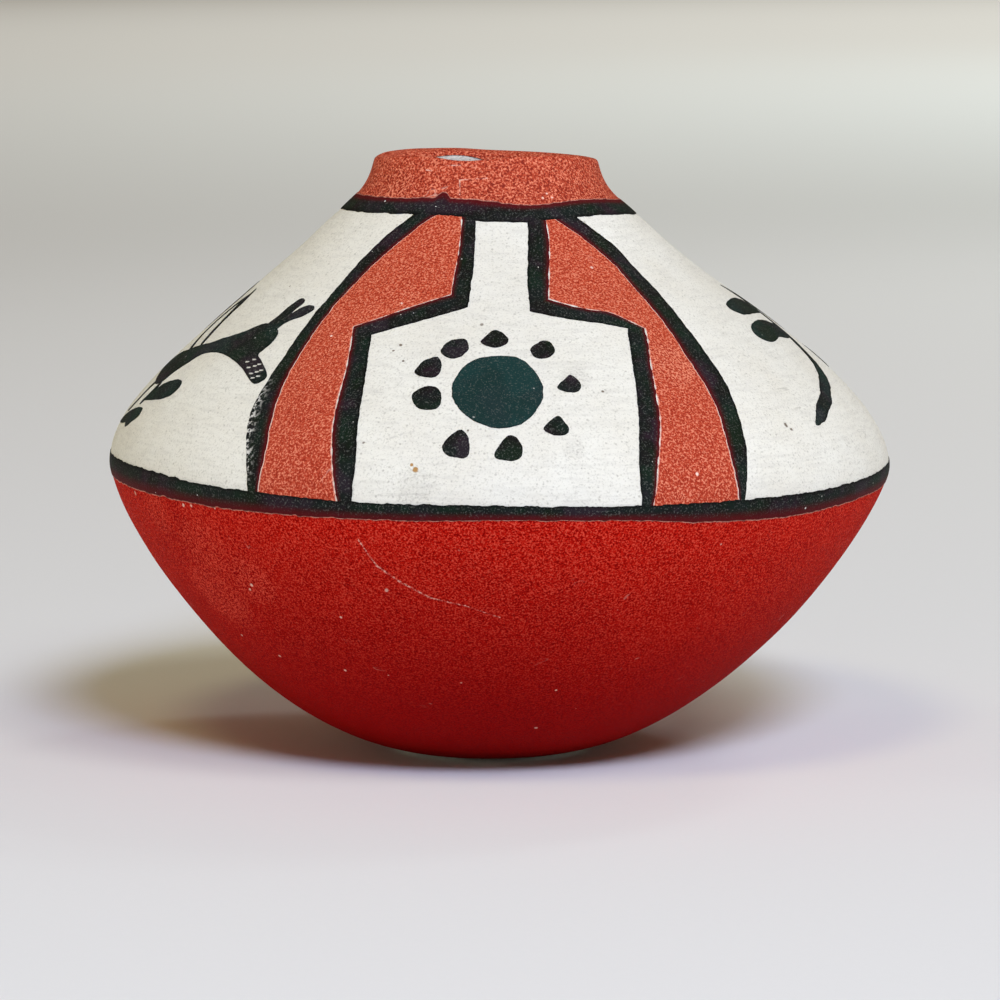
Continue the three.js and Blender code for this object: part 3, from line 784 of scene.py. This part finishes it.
# How far a brushed edge strays at a point of the wall
def brushStray(point):
    wide = noise.noise(point / paint["wobbleSize"]) * paint["wobble"]
    return wide + noise.noise(point / paint["ragSize"]) * paint["rag"]


# A smooth line through rows of numbers, read at a share of its length
def readRow(rows, share):
    place = min(max(share, 0), 1) * (len(rows) - 1)
    i = min(int(place), len(rows) - 2)
    t = place - i
    before, start, end, after = (rows[min(max(i + k, 0), len(rows) - 1)] for k in (-1, 0, 1, 2))
    result = []
    for a, b, c, d in zip(before, start, end, after):
        result.append(0.5 * (2 * b + (c - a) * t + (2 * a - 5 * b + 4 * c - d) * t * t
                             + (3 * b - a - 3 * c + d) * t * t * t))
    return result


# Rows of a stroke at even steps: (degrees, distance) of one edge and of the other.
# The sections meet at corners, and each is smooth.
def strokeRows(sections):
    made = []
    for rows in sections:
        first = onWall(rows[0][0], panelDistance(rows[0][1]), 0)
        last = onWall(rows[-1][0], panelDistance(rows[-1][1]), 0)
        count = max(2, round((last - first).length / paint["rowStep"]))
        for i in range(1 if made else 0, count + 1):
            edgeA, heightA, edgeB, heightB = readRow(rows, i / count)
            made.append((edgeA, panelDistance(heightA), edgeB, panelDistance(heightB)))
    return made


def acrossStroke(row, across):
    edgeA, distanceA, edgeB, distanceB = row
    return edgeA + (edgeB - edgeA) * across, distanceA + (distanceB - distanceA) * across


# Moves a place on the wall sideways from one edge of a stroke to the other, by millimetres
def strayed(row, across, away):
    degrees, distance = acrossStroke(row, across)
    start = onWall(row[0], row[1], 0)
    end = onWall(row[2], row[3], 0)
    width = max((end - start).length, paint["thinnest"])
    moved = across + away / width
    return acrossStroke(row, moved), onWall(degrees, distance, 0)


# An empty mesh for a mark, with values that its finish reads: how far each corner lies
# on the dark rim, on an edge stained by red, where paint is gone, and on a pale outer line
def newMark():
    bm = bmesh.new()
    for key in ("rim", "stain", "worn", "pale"):
        bm.verts.layers.float.new(key)
    return bm


def setValue(bm, corner, key, value):
    corner[bm.verts.layers.float[key]] = value


# Turns the faces round these corners to look away from the jar
def faceOut(bm, corners):
    faces = list({face for corner in corners for face in corner.link_faces})
    bm.normal_update()
    facing = sum(face.normal.dot(face.calc_center_median().xy.to_3d()) * face.calc_area() for face in faces)
    if facing < 0:
        bmesh.ops.reverse_faces(bm, faces=faces)


# Gives painted faces their thickness, down into the slip, and adds them as one piece
def addMark(name, node, bm, finishes, depth=paint["depth"]):
    bm.normal_update()
    made = bmesh.ops.extrude_face_region(bm, geom=bm.faces[:], use_keep_orig=True)
    for corner in made["geom"]:
        if isinstance(corner, bmesh.types.BMVert):
            corner.co -= corner.normal * depth
    bmesh.ops.recalc_face_normals(bm, faces=bm.faces[:])
    addPiece(name, bm, finishes, [node])


# A brushed line. stainSide says which of its edges lies on red: 0 or 1. worn is how much paint has gone.
def brushedLine(bm, sections, lift, stainSide=None, worn=None):
    rows = strokeRows(sections)
    columns = len(acrossAt) - 1
    grid = bmesh.ops.create_grid(bm, x_segments=columns, y_segments=len(rows) - 1, size=0.5)["verts"]
    for corner in grid:
        column = round((corner.co.x + 0.5) * columns)
        line = round((corner.co.y + 0.5) * (len(rows) - 1))
        across = acrossAt[column]
        row = rows[line]
        middle = onWall(*acrossStroke(row, 0 if across < 0.5 else 1), 0)
        stray = brushStray(middle) * abs(2 * across - 1) * (-1 if across < 0.5 else 1)
        (degrees, distance), _ = strayed(row, across, stray)
        crown = 1 - (2 * across - 1) ** 2
        corner.co = onWall(degrees, distance, lift[0] + (lift[1] - lift[0]) * crown)
        setValue(bm, corner, "rim", rimAt[column])
        if stainSide is not None:
            fromRed = across if stainSide == 0 else 1 - across
            setValue(bm, corner, "stain", 1 - smoothStep(fromRed, *paint["stained"]))
        if worn:
            setValue(bm, corner, "worn", worn(line / (len(rows) - 1), across))
    faceOut(bm, grid)
    return bm


# A filled mark from an outline of (degrees, distance), cut into cells so that it lies on the curved wall
def filledMark(bm, outline, lift, cell=None):
    cell = cell or paint["cellSize"]
    middleDistance = sum(distance for _, distance in outline) / len(outline)
    reach = math.radians(1) * wallAt(middleDistance).x
    flat = [bm.verts.new((degrees * reach, distance, 0)) for degrees, distance in outline]
    before = set(bm.verts) - set(flat)
    face = bm.faces.new(flat)
    face.normal_update()
    if face.normal.z < 0:
        face.normal_flip()
    bmesh.ops.inset_region(bm, faces=[face], thickness=paint["rimWidth"], use_boundary=True)
    bmesh.ops.triangulate(bm, faces=[face])
    mine = [corner for corner in bm.verts if corner not in before]
    for axis in (0, 1):
        low = min(corner.co[axis] for corner in mine)
        high = max(corner.co[axis] for corner in mine)
        count = max(2, math.ceil((high - low) / cell))
        for i in range(1, count):
            at, way = Vector((0, 0, 0)), Vector((0, 0, 0))
            at[axis] = low + (high - low) * i / count
            way[axis] = 1
            mine = [corner for corner in bm.verts if corner not in before]
            edges = {edge for corner in mine for edge in corner.link_edges}
            faces = {face for corner in mine for face in corner.link_faces}
            bmesh.ops.bisect_plane(bm, geom=mine + list(edges) + list(faces), plane_co=at, plane_no=way,
                                   dist=paint["cutReach"])
    mine = [corner for corner in bm.verts if corner not in before]
    for corner in mine:
        degrees, distance = corner.co.x / reach, corner.co.y
        corner.co = onWall(degrees, distance, lift[0] if corner.is_boundary else lift[1])
        setValue(bm, corner, "rim", 1 if corner.is_boundary else 0)
    faceOut(bm, mine)
    return bm


# A closed smooth outline through points of (degrees, height), with a brushed edge
def roundOutline(points):
    count = len(points)
    centreDegrees = sum(point[0] for point in points) / count
    centreDistance = panelDistance(sum(point[1] for point in points) / count)
    made = []
    for i in range(count):
        around = [points[(i + k) % count] for k in (-1, 0, 1, 2)]
        start = onWall(around[1][0], panelDistance(around[1][1]), 0)
        end = onWall(around[2][0], panelDistance(around[2][1]), 0)
        steps = max(1, round((end - start).length / paint["outlineStep"]))
        for j in range(steps):
            degrees, height = readRow(around, (1 + j / steps) / 3)
            distance = panelDistance(height)
            place = onWall(degrees, distance, 0)
            centre = onWall(centreDegrees, centreDistance, 0)
            share = 1 + brushStray(place) / max((place - centre).length, paint["smallest"])
            made.append((centreDegrees + (degrees - centreDegrees) * share,
                         centreDistance + (distance - centreDistance) * share))
    return made


def turnedBy(rows, degrees):
    return [tuple(value + degrees if i % 2 == 0 else value for i, value in enumerate(row)) for row in rows]


# Bands, as (degrees, height above the floor) of their upper and lower edges

shoulderBand = {
    "top": [(-150, 42.4), (-110, 42.6), (-79, 42.8), (-57, 42.7), (-47, 42.1), (-37, 41.9), (-28, 41.6),
            (-20, 41.4), (0, 41.3), (13, 41), (27, 40.85), (40, 40.8), (49, 40.8), (60, 41), (77, 41.5),
            (120, 41.9), (160, 42.1)],
    "bottom": [(-150, 39.4), (-110, 39.6), (-77, 39.7), (-57, 39.5), (-40, 39.1), (-13, 39.1), (0, 39.3),
               (13, 39.1), (20, 38.9), (27, 38.3), (36, 37.9), (45, 37.7), (61, 38.3), (77, 38.7),
               (120, 39.2), (160, 39.1)],
    "steps": 900, "notch": 0.12, "stained": (0.1, 0.6),
}
neckBand = {
    "top": [(-150, 78.6), (-110, 78.8), (-75, 78.9), (-45, 78.75), (-33, 78.75), (-28, 78.95),
            (-22.6, 79.1), (-21.2, 79.55), (-20, 79.8), (-18.2, 79.8), (-16.9, 79.55), (-15.4, 79.12),
            (-9, 79.1), (-1.7, 78.85), (5.5, 78.5), (12.6, 78.15), (19.8, 78.05), (27.6, 78.1),
            (36.5, 78.3), (46.8, 78.5), (61, 78.5),
            (92, 78.2), (130, 78.4), (165, 78.5)],
    "bottom": [(-150, 76.4), (-110, 76.6), (-79, 76.8), (-58, 76.8), (-44, 76.8), (-30, 76.85),
               (-22, 76.9), (-9, 76.8), (-3, 76.2), (6.4, 76.1), (16.3, 76), (25.4, 76.2), (38, 76.35),
               (52, 76.5), (92, 76.1), (130, 76.3), (165, 76.4)],
    "steps": 420, "notch": 0.08, "stained": (0.1, 0.4),
}


def addBand(name, node, look, stainSide):
    bm = newMark()
    rows = []
    for i in range(look["steps"] + 1):
        degrees = -180 + 360 * i / look["steps"]
        rows.append((degrees, distanceAt(readRound(look["bottom"], degrees)),
                     degrees, distanceAt(readRound(look["top"], degrees))))
    columns = len(acrossAt) - 1
    bmesh.ops.create_grid(bm, x_segments=look["steps"], y_segments=columns, size=0.5)
    for corner in bm.verts:
        row = rows[round((corner.co.x + 0.5) * look["steps"])]
        column = round((corner.co.y + 0.5) * columns)
        across = acrossAt[column]
        edge = onWall(*acrossStroke(row, 0 if across < 0.5 else 1), 0)
        torn = brushStray(edge) * (look["notch"] / paint["wobble"] + paint["leastTorn"])
        degrees, distance = acrossStroke(row, across)
        crown = 1 - (2 * across - 1) ** 2
        lift = paint["bandLift"][0] + (paint["bandLift"][1] - paint["bandLift"][0]) * crown
        corner.co = onWall(degrees, distance + torn * (2 * across - 1), lift)
        setValue(bm, corner, "rim", rimAt[column])
        fromRed = across if stainSide == 0 else 1 - across
        setValue(bm, corner, "stain", 1 - smoothStep(fromRed, *look["stained"]))
        setValue(bm, corner, "pale", 1 if fromRed == 0 else 0)
    bmesh.ops.remove_doubles(bm, verts=bm.verts[:], dist=mergeReach)
    faceOut(bm, bm.verts)
    addMark(name, node, bm, [blackLine])


addBand("shoulderBand", "shoulder_band", shoulderBand, 0)
addBand("neckBand", "neck_band", neckBand, 1)
print("bands painted")


# One panel: two outer arcs, two stepped lines, the red lobes between them, and the sun with its dots.
# A row of a line is (degrees, height) of its outer edge, then of its inner one.

arcLeft = [[
    (-37.4, -0.03, -36, -0.03), (-37.8, 0.05, -35.6, 0.05), (-39, 0.12, -35.5, 0.12),
    (-40.6, 0.19, -36.3, 0.19), (-41.8, 0.26, -37.3, 0.26), (-42.2, 0.35, -38.4, 0.35),
    (-42.4, 0.45, -39, 0.45), (-42.6, 0.55, -39, 0.55), (-42.1, 0.65, -38.4, 0.65),
    (-40.9, 0.74, -36.5, 0.74), (-40, 0.82, -34.5, 0.82), (-38.2, 0.89, -31.4, 0.89),
    (-35.2, 0.95, -27.3, 0.95), (-31.2, 1, -22.8, 1), (-28, 1.03, -19, 1.03),
]]
arcRight = [[
    (36.1, -0.03, 35.5, -0.03), (37.2, 0.05, 35.3, 0.05), (38.7, 0.12, 35.6, 0.12),
    (39.9, 0.19, 36.3, 0.19), (41.1, 0.26, 37.2, 0.26), (42.5, 0.35, 37.8, 0.35),
    (43.3, 0.45, 38.2, 0.45), (44.3, 0.55, 39.1, 0.55), (45.7, 0.65, 39.9, 0.65),
    (46.7, 0.74, 40.1, 0.74), (46.3, 0.82, 39.9, 0.82), (45.8, 0.89, 37.4, 0.89),
    (42.1, 0.95, 33.2, 0.95), (38, 1, 27.9, 1), (35, 1.03, 24.5, 1.03),
]]
stepLeft = [
    [(-9.2, 1.04, -3.6, 1.04), (-8.5, 0.956, -3.4, 0.93), (-8.3, 0.88, -3.4, 0.86),
     (-8.6, 0.8, -3.8, 0.78), (-8.8, 0.719, -4.8, 0.669)],
    [(-8.8, 0.719, -4.8, 0.669), (-13.7, 0.693, -9.4, 0.646), (-19.2, 0.659, -14.5, 0.617),
     (-24.2, 0.622, -19.5, 0.588), (-30.1, 0.58, -25.2, 0.551)],
    [(-30.1, 0.58, -25.2, 0.551), (-28.3, 0.485, -24, 0.47), (-27, 0.397, -22.9, 0.385),
     (-26.3, 0.311, -22.1, 0.3), (-25.4, 0.215, -21.3, 0.21), (-24.2, 0.12, -20.5, 0.12),
     (-23.4, 0.05, -20.6, 0.05), (-22.6, -0.03, -21, -0.03)],
]
stepRight = [
    [(23.9, 1.04, 16.7, 1.04), (21.6, 0.936, 14.4, 0.938), (18, 0.82, 11.6, 0.813),
     (16.3, 0.761, 10.6, 0.754), (14.6, 0.7, 9.2, 0.654)],
    [(14.6, 0.7, 9.2, 0.654), (18.5, 0.676, 14.3, 0.631), (23.2, 0.653, 19.7, 0.611),
     (28, 0.636, 24.6, 0.595), (33.3, 0.57, 29.4, 0.574)],
    [(33.3, 0.57, 29.4, 0.574), (32, 0.525, 27.7, 0.522), (29.3, 0.434, 25.6, 0.43),
     (27.2, 0.323, 23.7, 0.323), (25.8, 0.234, 22.3, 0.234), (24.2, 0.154, 21, 0.154),
     (22.9, 0.086, 20.2, 0.086), (21.2, -0.03, 19.8, -0.03)],
]
sunDisc = [
    (-7.2, 0.375), (-6.6, 0.404), (-5.9, 0.428), (-4.6, 0.452), (-2.6, 0.471), (0.4, 0.479),
    (3.1, 0.477), (5.2, 0.464), (6.6, 0.436), (7.6, 0.399), (8.05, 0.357), (7.4, 0.313),
    (6.1, 0.273), (4.3, 0.242), (1.9, 0.224), (-0.8, 0.225), (-3, 0.241), (-4.9, 0.269),
    (-6.4, 0.303), (-7.2, 0.34),
]
sunDots = [
    [(-2.4, 0.53), (-1.8, 0.547), (-0.6, 0.567), (0.7, 0.579), (1.9, 0.574), (2.8, 0.557), (3.3, 0.538),
     (2.3, 0.521), (0.8, 0.511), (-0.9, 0.515)],
    [(-10.1, 0.495), (-9.6, 0.516), (-8.5, 0.536), (-7, 0.543), (-5.4, 0.542), (-4.8, 0.525),
     (-4.6, 0.507), (-5.3, 0.488), (-6.4, 0.474), (-7.7, 0.467), (-9.1, 0.477)],
    [(-14.1, 0.411), (-13.9, 0.433), (-13.1, 0.456), (-11.9, 0.468), (-10.5, 0.474), (-9.8, 0.455),
     (-9.4, 0.431), (-9.8, 0.41), (-10.7, 0.396), (-12.2, 0.396)],
    [(-13.7, 0.317), (-13.6, 0.338), (-12.9, 0.353), (-11.6, 0.363), (-10.1, 0.362), (-9.2, 0.346),
     (-8.8, 0.322), (-9, 0.296), (-9.8, 0.283), (-11.3, 0.281), (-12.8, 0.291)],
    [(-7.9, 0.162), (-7.5, 0.183), (-6.7, 0.2), (-5.6, 0.216), (-4.8, 0.212), (-4.2, 0.194),
     (-4, 0.166), (-4.1, 0.139), (-4.8, 0.13), (-6.1, 0.132), (-7.4, 0.141)],
    [(-0.4, 0.142), (0, 0.161), (0.8, 0.182), (1.7, 0.199), (2.7, 0.197), (3.4, 0.179), (3.7, 0.156),
     (3.4, 0.132), (2.3, 0.122), (0.9, 0.124), (-0.2, 0.13)],
    [(7, 0.219), (7.7, 0.236), (8.5, 0.25), (9.5, 0.262), (10.2, 0.252), (10.6, 0.236), (11, 0.22),
     (10.4, 0.202), (9.2, 0.197), (7.9, 0.205)],
    [(10.4, 0.359), (11, 0.375), (12, 0.388), (13.2, 0.405), (14, 0.394), (14.6, 0.378), (14.5, 0.355),
     (13.6, 0.34), (12.2, 0.341), (11, 0.349)],
    [(7.1, 0.493), (7.5, 0.511), (8.6, 0.525), (10, 0.536), (11.2, 0.53), (11.8, 0.511), (11.6, 0.488),
     (10.4, 0.473), (8.8, 0.467), (7.5, 0.474)],
]


# Paint has rubbed off low on the left outer line: at which shares of its length and width
arcWorn = {"begins": (0.04, 0.12), "ends": (0.28, 0.4), "across": (0.1, 0.5), "most": 0.75}


def arcWear(share, across):
    low = smoothStep(share, *arcWorn["begins"]) * (1 - smoothStep(share, *arcWorn["ends"]))
    return arcWorn["most"] * low * (1 - smoothStep(across, *arcWorn["across"]))


# The lobe's outline runs up the outer line's inner edge and back down the stepped line
def lobeOutline(arc, step):
    rising = strokeRows(arc)
    falling = strokeRows(step)
    made = []
    for row, across, away in ([(row, 1, paint["hairGap"]) for row in rising]
                              + [(row, 0, -paint["hairGap"]) for row in falling]):
        place = onWall(*acrossStroke(row, across), 0)
        stray = brushStray(place) + away * (1 + noise.noise(place / paint["hairSize"]))
        made.append(strayed(row, across, stray)[0])
    top, bottom = panel["top"] + paint["lobeOverTop"], panel["bottom"] - paint["lobeUnderBottom"]
    return [(degrees, distance) for degrees, distance in made if bottom < distance < top]


def addPanel(name, middle):
    hands = (("left", arcLeft, stepLeft), ("right", arcRight, stepRight))
    for hand, arc, step in hands:
        arcHere = [turnedBy(rows, middle) for rows in arc]
        stepHere = [turnedBy(rows, middle) for rows in step]
        title = hand.capitalize()
        lobe = filledMark(newMark(), lobeOutline(arcHere, stepHere), paint["lobeLift"])
        addMark(f"{name}Lobe{title}", f"{name}_lobe_{hand}", lobe, [redLobe], paint["lobeDepth"])
        outerLine = brushedLine(newMark(), arcHere, paint["lineLift"], 1, arcWear if hand == "left" else None)
        addMark(f"{name}Arc{title}", f"{name}_arc_{hand}", outerLine, [blackLine])
        steppedLine = brushedLine(newMark(), stepHere, paint["lineLift"], 0)
        addMark(f"{name}Step{title}", f"{name}_step_{hand}", steppedLine, [blackLine])
    marks = [("SunDisc", "sun_disc", sunDisc, blackSun)]
    for i, dot in enumerate(sunDots, 1):
        marks.append((f"SunDot{i}", f"sun_dot_{i}", dot, blackLine))
    for title, node, outline, finish in marks:
        outlineHere = roundOutline(turnedBy(outline, middle))
        mark = filledMark(newMark(), outlineHere, paint["lineLift"], paint["discCell"])
        addMark(name + title, f"{name}_{node}", mark, [finish])


addPanel("front", 0)
addPanel("back", 180)
print("panels painted")


# Side figures: a crested bird and a branch with two leaves, each seen on one side of the photograph

birdBody = [
    (-80.8, 0.278), (-84.5, 0.3), (-87, 0.325), (-86.5, 0.36), (-84, 0.389), (-79.3, 0.412),
    (-76, 0.432), (-73, 0.447), (-70, 0.46), (-66.9, 0.481), (-63.8, 0.5), (-60.6, 0.521),
    (-58.4, 0.544), (-56.4, 0.559), (-54.2, 0.566), (-52, 0.56), (-50, 0.548), (-48.7, 0.531),
    (-48.3, 0.511), (-48.4, 0.49), (-49, 0.465), (-49.4, 0.447), (-47.7, 0.429), (-45.4, 0.404),
    (-43.6, 0.38), (-43.1, 0.365), (-43.5, 0.35), (-44.4, 0.34), (-45.6, 0.343), (-47.3, 0.358),
    (-49, 0.375), (-51.5, 0.394), (-54.4, 0.41), (-57.8, 0.423), (-61.2, 0.43), (-64.4, 0.429),
    (-67.2, 0.421), (-69.1, 0.409), (-70.4, 0.39), (-71.7, 0.368), (-73.1, 0.345), (-74.3, 0.32),
    (-75, 0.297), (-76.6, 0.28), (-78.6, 0.273),
]
birdCrests = [
    [(-54.4, 0.562), (-53.5, 0.592), (-52.8, 0.62), (-52.1, 0.646), (-51.2, 0.668), (-50, 0.676),
     (-48.7, 0.669), (-48.4, 0.655), (-49.3, 0.631), (-49.7, 0.603), (-50.3, 0.578), (-51.8, 0.548)],
    [(-53, 0.556), (-51.3, 0.592), (-49.8, 0.609), (-48.6, 0.629), (-47.2, 0.645), (-45.6, 0.654),
     (-44, 0.649), (-43.6, 0.635), (-44.8, 0.615), (-46.3, 0.599), (-47.9, 0.587), (-49.3, 0.57),
     (-50.6, 0.54)],
]
# Thin strokes: (degrees, height, width)
birdLines = [
    [(-78.1, 0.405, 1.1), (-80.6, 0.44, 0.9), (-82.6, 0.48, 0.8), (-83.6, 0.53, 0.8), (-83.4, 0.58, 0.9),
     (-81.8, 0.62, 1.1), (-80, 0.655, 1)],
    [(-74.5, 0.44, 1.4), (-76.3, 0.493, 1.1), (-77.3, 0.531, 1.1), (-78, 0.563, 1.3),
     (-78.7, 0.595, 1.7), (-79.2, 0.62, 1.9), (-79.6, 0.65, 1.1), (-79.8, 0.68, 0.3)],
    [(-79.8, 0.285, 1.3), (-80.9, 0.25, 0.9), (-81.6, 0.22, 0.9), (-82.6, 0.19, 0.8), (-84, 0.162, 0.6)],
    [(-75.6, 0.288, 1.4), (-76.3, 0.252, 1), (-77, 0.225, 1), (-77.8, 0.2, 0.8)],
]
birdNearFoot = [
    (-77.2, 0.218), (-76.9, 0.243), (-75, 0.266), (-73.6, 0.285), (-71.3, 0.302), (-68.8, 0.312),
    (-66.9, 0.313), (-65.7, 0.302), (-65.2, 0.284), (-65.5, 0.267), (-66.6, 0.251), (-68.7, 0.238),
    (-71.3, 0.229), (-74.2, 0.222),
]
birdFarFoot = [
    (-86.5, 0.12), (-84.8, 0.142), (-81.9, 0.165), (-79, 0.182), (-76.5, 0.192), (-74.3, 0.194),
    (-73.6, 0.183), (-73.3, 0.169), (-74.3, 0.154), (-75.7, 0.14), (-76.6, 0.128), (-78, 0.122),
    (-79.2, 0.133), (-81, 0.128), (-83.5, 0.122),
]
# Short dashes of bare slip on the bird's breast: (degrees, height)
birdDashes = [
    (-50.6, 0.413), (-49.2, 0.424), (-49, 0.393), (-47.7, 0.401), (-46.9, 0.409), (-47.2, 0.373),
    (-46.1, 0.381), (-45.3, 0.388), (-46, 0.358), (-45, 0.366),
]
branchLines = [
    [(57.1, 0.173, 1.3), (59.6, 0.192, 1.8), (62.2, 0.218, 2.1), (66.2, 0.245, 2.2), (69.6, 0.275, 2.1),
     (73.3, 0.303, 2.1), (76.4, 0.335, 1.9), (78.9, 0.37, 1.7), (80.8, 0.41, 1.5), (82.9, 0.45, 1.6),
     (85.2, 0.5, 1.3), (87.2, 0.55, 1.2), (88.6, 0.6, 1.6), (88.4, 0.635, 1.5), (86.4, 0.665, 1),
     (84, 0.69, 0.5)],
]
branchLeaves = [
    [(68.6, 0.63), (71.9, 0.638), (76.5, 0.642), (81.3, 0.635), (84.3, 0.622), (86, 0.606),
     (88.5, 0.592), (89, 0.57), (86, 0.561), (79.1, 0.571), (74.3, 0.574), (70.6, 0.579),
     (68.6, 0.592), (67.4, 0.605), (67.5, 0.619)],
    [(66.1, 0.531), (69.3, 0.544), (73.7, 0.549), (77.6, 0.545), (80.5, 0.533), (83, 0.519),
     (85, 0.502), (84.6, 0.482), (83, 0.46), (80.3, 0.458), (77.4, 0.466), (75, 0.474), (72.4, 0.471),
     (69.7, 0.466), (67.2, 0.467), (65.5, 0.476), (64.5, 0.493), (64.6, 0.513)],
]


# How the thin strokes and the dashes are drawn
thinLook = {"rowsPerPoint": 6, "lookAhead": 0.01, "roundedShare": 0.125, "bluntest": 0.02}
dashLook = {"width": 0.8, "height": 0.26, "slant": 0.3, "corners": 8, "lift": (0.115, 0.125), "cell": 0.5}


# Both edges of a thin stroke, from its line and widths, with rounded ends
def thinStroke(points):
    made = []
    count = len(points) * thinLook["rowsPerPoint"]
    for i in range(count + 1):
        share = i / count
        degrees, height, width = readRow(points, share)
        nextDegrees, nextHeight, _ = readRow(points, min(share + thinLook["lookAhead"], 1))
        lastDegrees, lastHeight, _ = readRow(points, max(share - thinLook["lookAhead"], 0))
        radius = math.radians(1) * wallAt(panelDistance(height)).x
        way = Vector(((nextDegrees - lastDegrees) * radius,
                      (nextHeight - lastHeight) * (panel["top"] - panel["bottom"]))).normalized()
        toEnd = min(share, 1 - share) / thinLook["roundedShare"]
        half = width / 2 * math.sqrt(max(1 - max(1 - toEnd, 0) ** 2, thinLook["bluntest"]))
        aside, rise = way.y * half / radius, way.x * half / (panel["top"] - panel["bottom"])
        made.append((degrees - aside, height + rise, degrees + aside, height - rise))
    return made


# White dashes show as small dabs of the slip's own colour on the black
def addDashes(bm, places):
    for degrees, level in places:
        reach = math.radians(1) * wallAt(panelDistance(level)).x
        rise = dashLook["height"] / (panel["top"] - panel["bottom"])
        outline = []
        for i in range(dashLook["corners"]):
            turn = 2 * math.pi * i / dashLook["corners"]
            up = rise / 2 * math.sin(turn) + dashLook["slant"] * rise * math.cos(turn)
            aside = dashLook["width"] / 2 / reach * math.cos(turn)
            outline.append((degrees + aside, panelDistance(level + up)))
        known = set(bm.faces)
        filledMark(bm, outline, dashLook["lift"], dashLook["cell"])
        for face in set(bm.faces) - known:
            face.material_index = 1


# A mesh with the filled outlines and the thin strokes of one figure
def figureMark(outlines, strokes, turn):
    bm = newMark()
    for outline in outlines:
        filledMark(bm, roundOutline(turnedBy(outline, turn)), paint["lineLift"], paint["figureCell"])
    for points in strokes:
        brushedLine(bm, [turnedBy(thinStroke(points), turn)], paint["lineLift"])
    return bm


def addSideFigures(side, turn):
    bird = figureMark([birdBody, birdNearFoot, *birdCrests], birdLines, turn)
    addDashes(bird, [(degrees + turn, height) for degrees, height in birdDashes])
    addMark(f"{side}Bird", f"{side}_bird", bird, [blackFigure, whiteSlip])
    addMark(f"{side}BirdFoot", f"{side}_bird_foot", figureMark([birdFarFoot], [], turn), [blackFigure])
    branch = figureMark(branchLeaves, branchLines, turn + 180)
    addMark(f"{side}Branch", f"{side}_branch", branch, [blackFigure])


addSideFigures("left", 0)
addSideFigures("right", 180)
print("figures painted")


# Studio: a pale floor and soft lights, none of it part of the jar

studio = {
    "floorReach": 9, "floorCells": 8,
    "world": (1, 0.71, 0.42), "worldStrength": 0.17, "lampReach": 1.9, "lampAim": (0, 0, 0.04),
    # name, degrees round the jar, height in degrees, width, watts, colour
    "softboxes": [
        ("key", 12, 38, 0.45, 29, (0.61, 0.7, 1)),
        ("besideKey", 29, 45, 0.7, 14, (0.97, 1, 0.9)),
        ("fill", -18, 52, 0.45, 6.5, (1, 0.9, 0.45)),
        ("left", -90, 4, 0.45, 12, (1, 1, 0.82)),
        ("right", 90, 4, 0.45, 7, (1, 1, 0.92)),
    ],
    # name, place, aim, radius, watts, colour, spread: lights for the floor far behind the jar
    "farLights": [
        ("farFloor", (3, 4, 6), (1.5, 3.5, 0), 0.5, 1600, (0.97, 1, 0.94), 60),
        ("behind", (1.5, 2.2, 2.2), (1.2, 1.9, 0), 0.3, 90, (0.72, 0.96, 1), 80),
        ("nearFloor", (1.1, 1.3, 1.6), (0.3, 0.6, 0), 0.2, 36, (0.95, 1, 1), 36),
    ],
}


floorLook = {
    "plain": (0.74, 0.745, 0.755), "shade": (0.59, 0.585, 0.6), "places": [((0, 0, 0),)],
    "patterns": [{"fine": (grain, {"size": 1.2, "contrast": 1.2})}],
    "layers": [("fine", (0.0, 1.0, 0.0, 0.06), "shade")],
    "relief": [("fine", 1.0)], "roughness": 0.75, "bump": 0.02, "gloss": 0.2,
}


def addLamp(data, place, aim, watts, colour):
    data.energy = watts
    data.color = colour
    lamp = bpy.data.objects.new(data.name, data)
    lamp.location = place
    lamp.rotation_euler = (Vector(aim) - Vector(place)).to_track_quat("-Z", "Y").to_euler()
    bpy.context.scene.collection.objects.link(lamp)
    lamp.visible_camera = False


def addSoftbox(name, degrees, elevation, width, watts, colour):
    turn, climb = math.radians(degrees), math.radians(elevation)
    way = Vector((math.sin(turn) * math.cos(climb), -math.cos(turn) * math.cos(climb), math.sin(climb)))
    data = bpy.data.lights.new(name, "AREA")
    data.shape = "DISK"
    data.size = width
    addLamp(data, way * studio["lampReach"], studio["lampAim"], watts, colour)


def addStudio():
    bm = bmesh.new()
    cells = studio["floorCells"]
    bmesh.ops.create_grid(bm, x_segments=cells, y_segments=cells, size=studio["floorReach"])
    mesh = bpy.data.meshes.new("floor")
    bm.to_mesh(mesh)
    bm.free()
    material, tree, masks = openFinish("floor", floorLook)
    colour = layColours(tree, floorLook["plain"], floorLook, masks)
    mesh.materials.append(closeFinish(material, colour, floorLook, masks))
    floor = bpy.data.objects.new("floor", mesh)
    bpy.context.scene.collection.objects.link(floor)
    world = bpy.data.worlds.new("world")
    world.use_nodes = True
    background = world.node_tree.nodes["Background"]
    background.inputs["Color"].default_value = (*studio["world"], 1)
    background.inputs["Strength"].default_value = studio["worldStrength"]
    bpy.context.scene.world = world
    for softbox in studio["softboxes"]:
        addSoftbox(*softbox)
    for name, place, aim, radius, watts, colour, spread in studio["farLights"]:
        data = bpy.data.lights.new(name, "SPOT")
        data.shadow_soft_size = radius
        data.spot_size = math.radians(spread)
        data.spot_blend = 1
        addLamp(data, place, aim, watts, colour)


addStudio()
print("studio set")
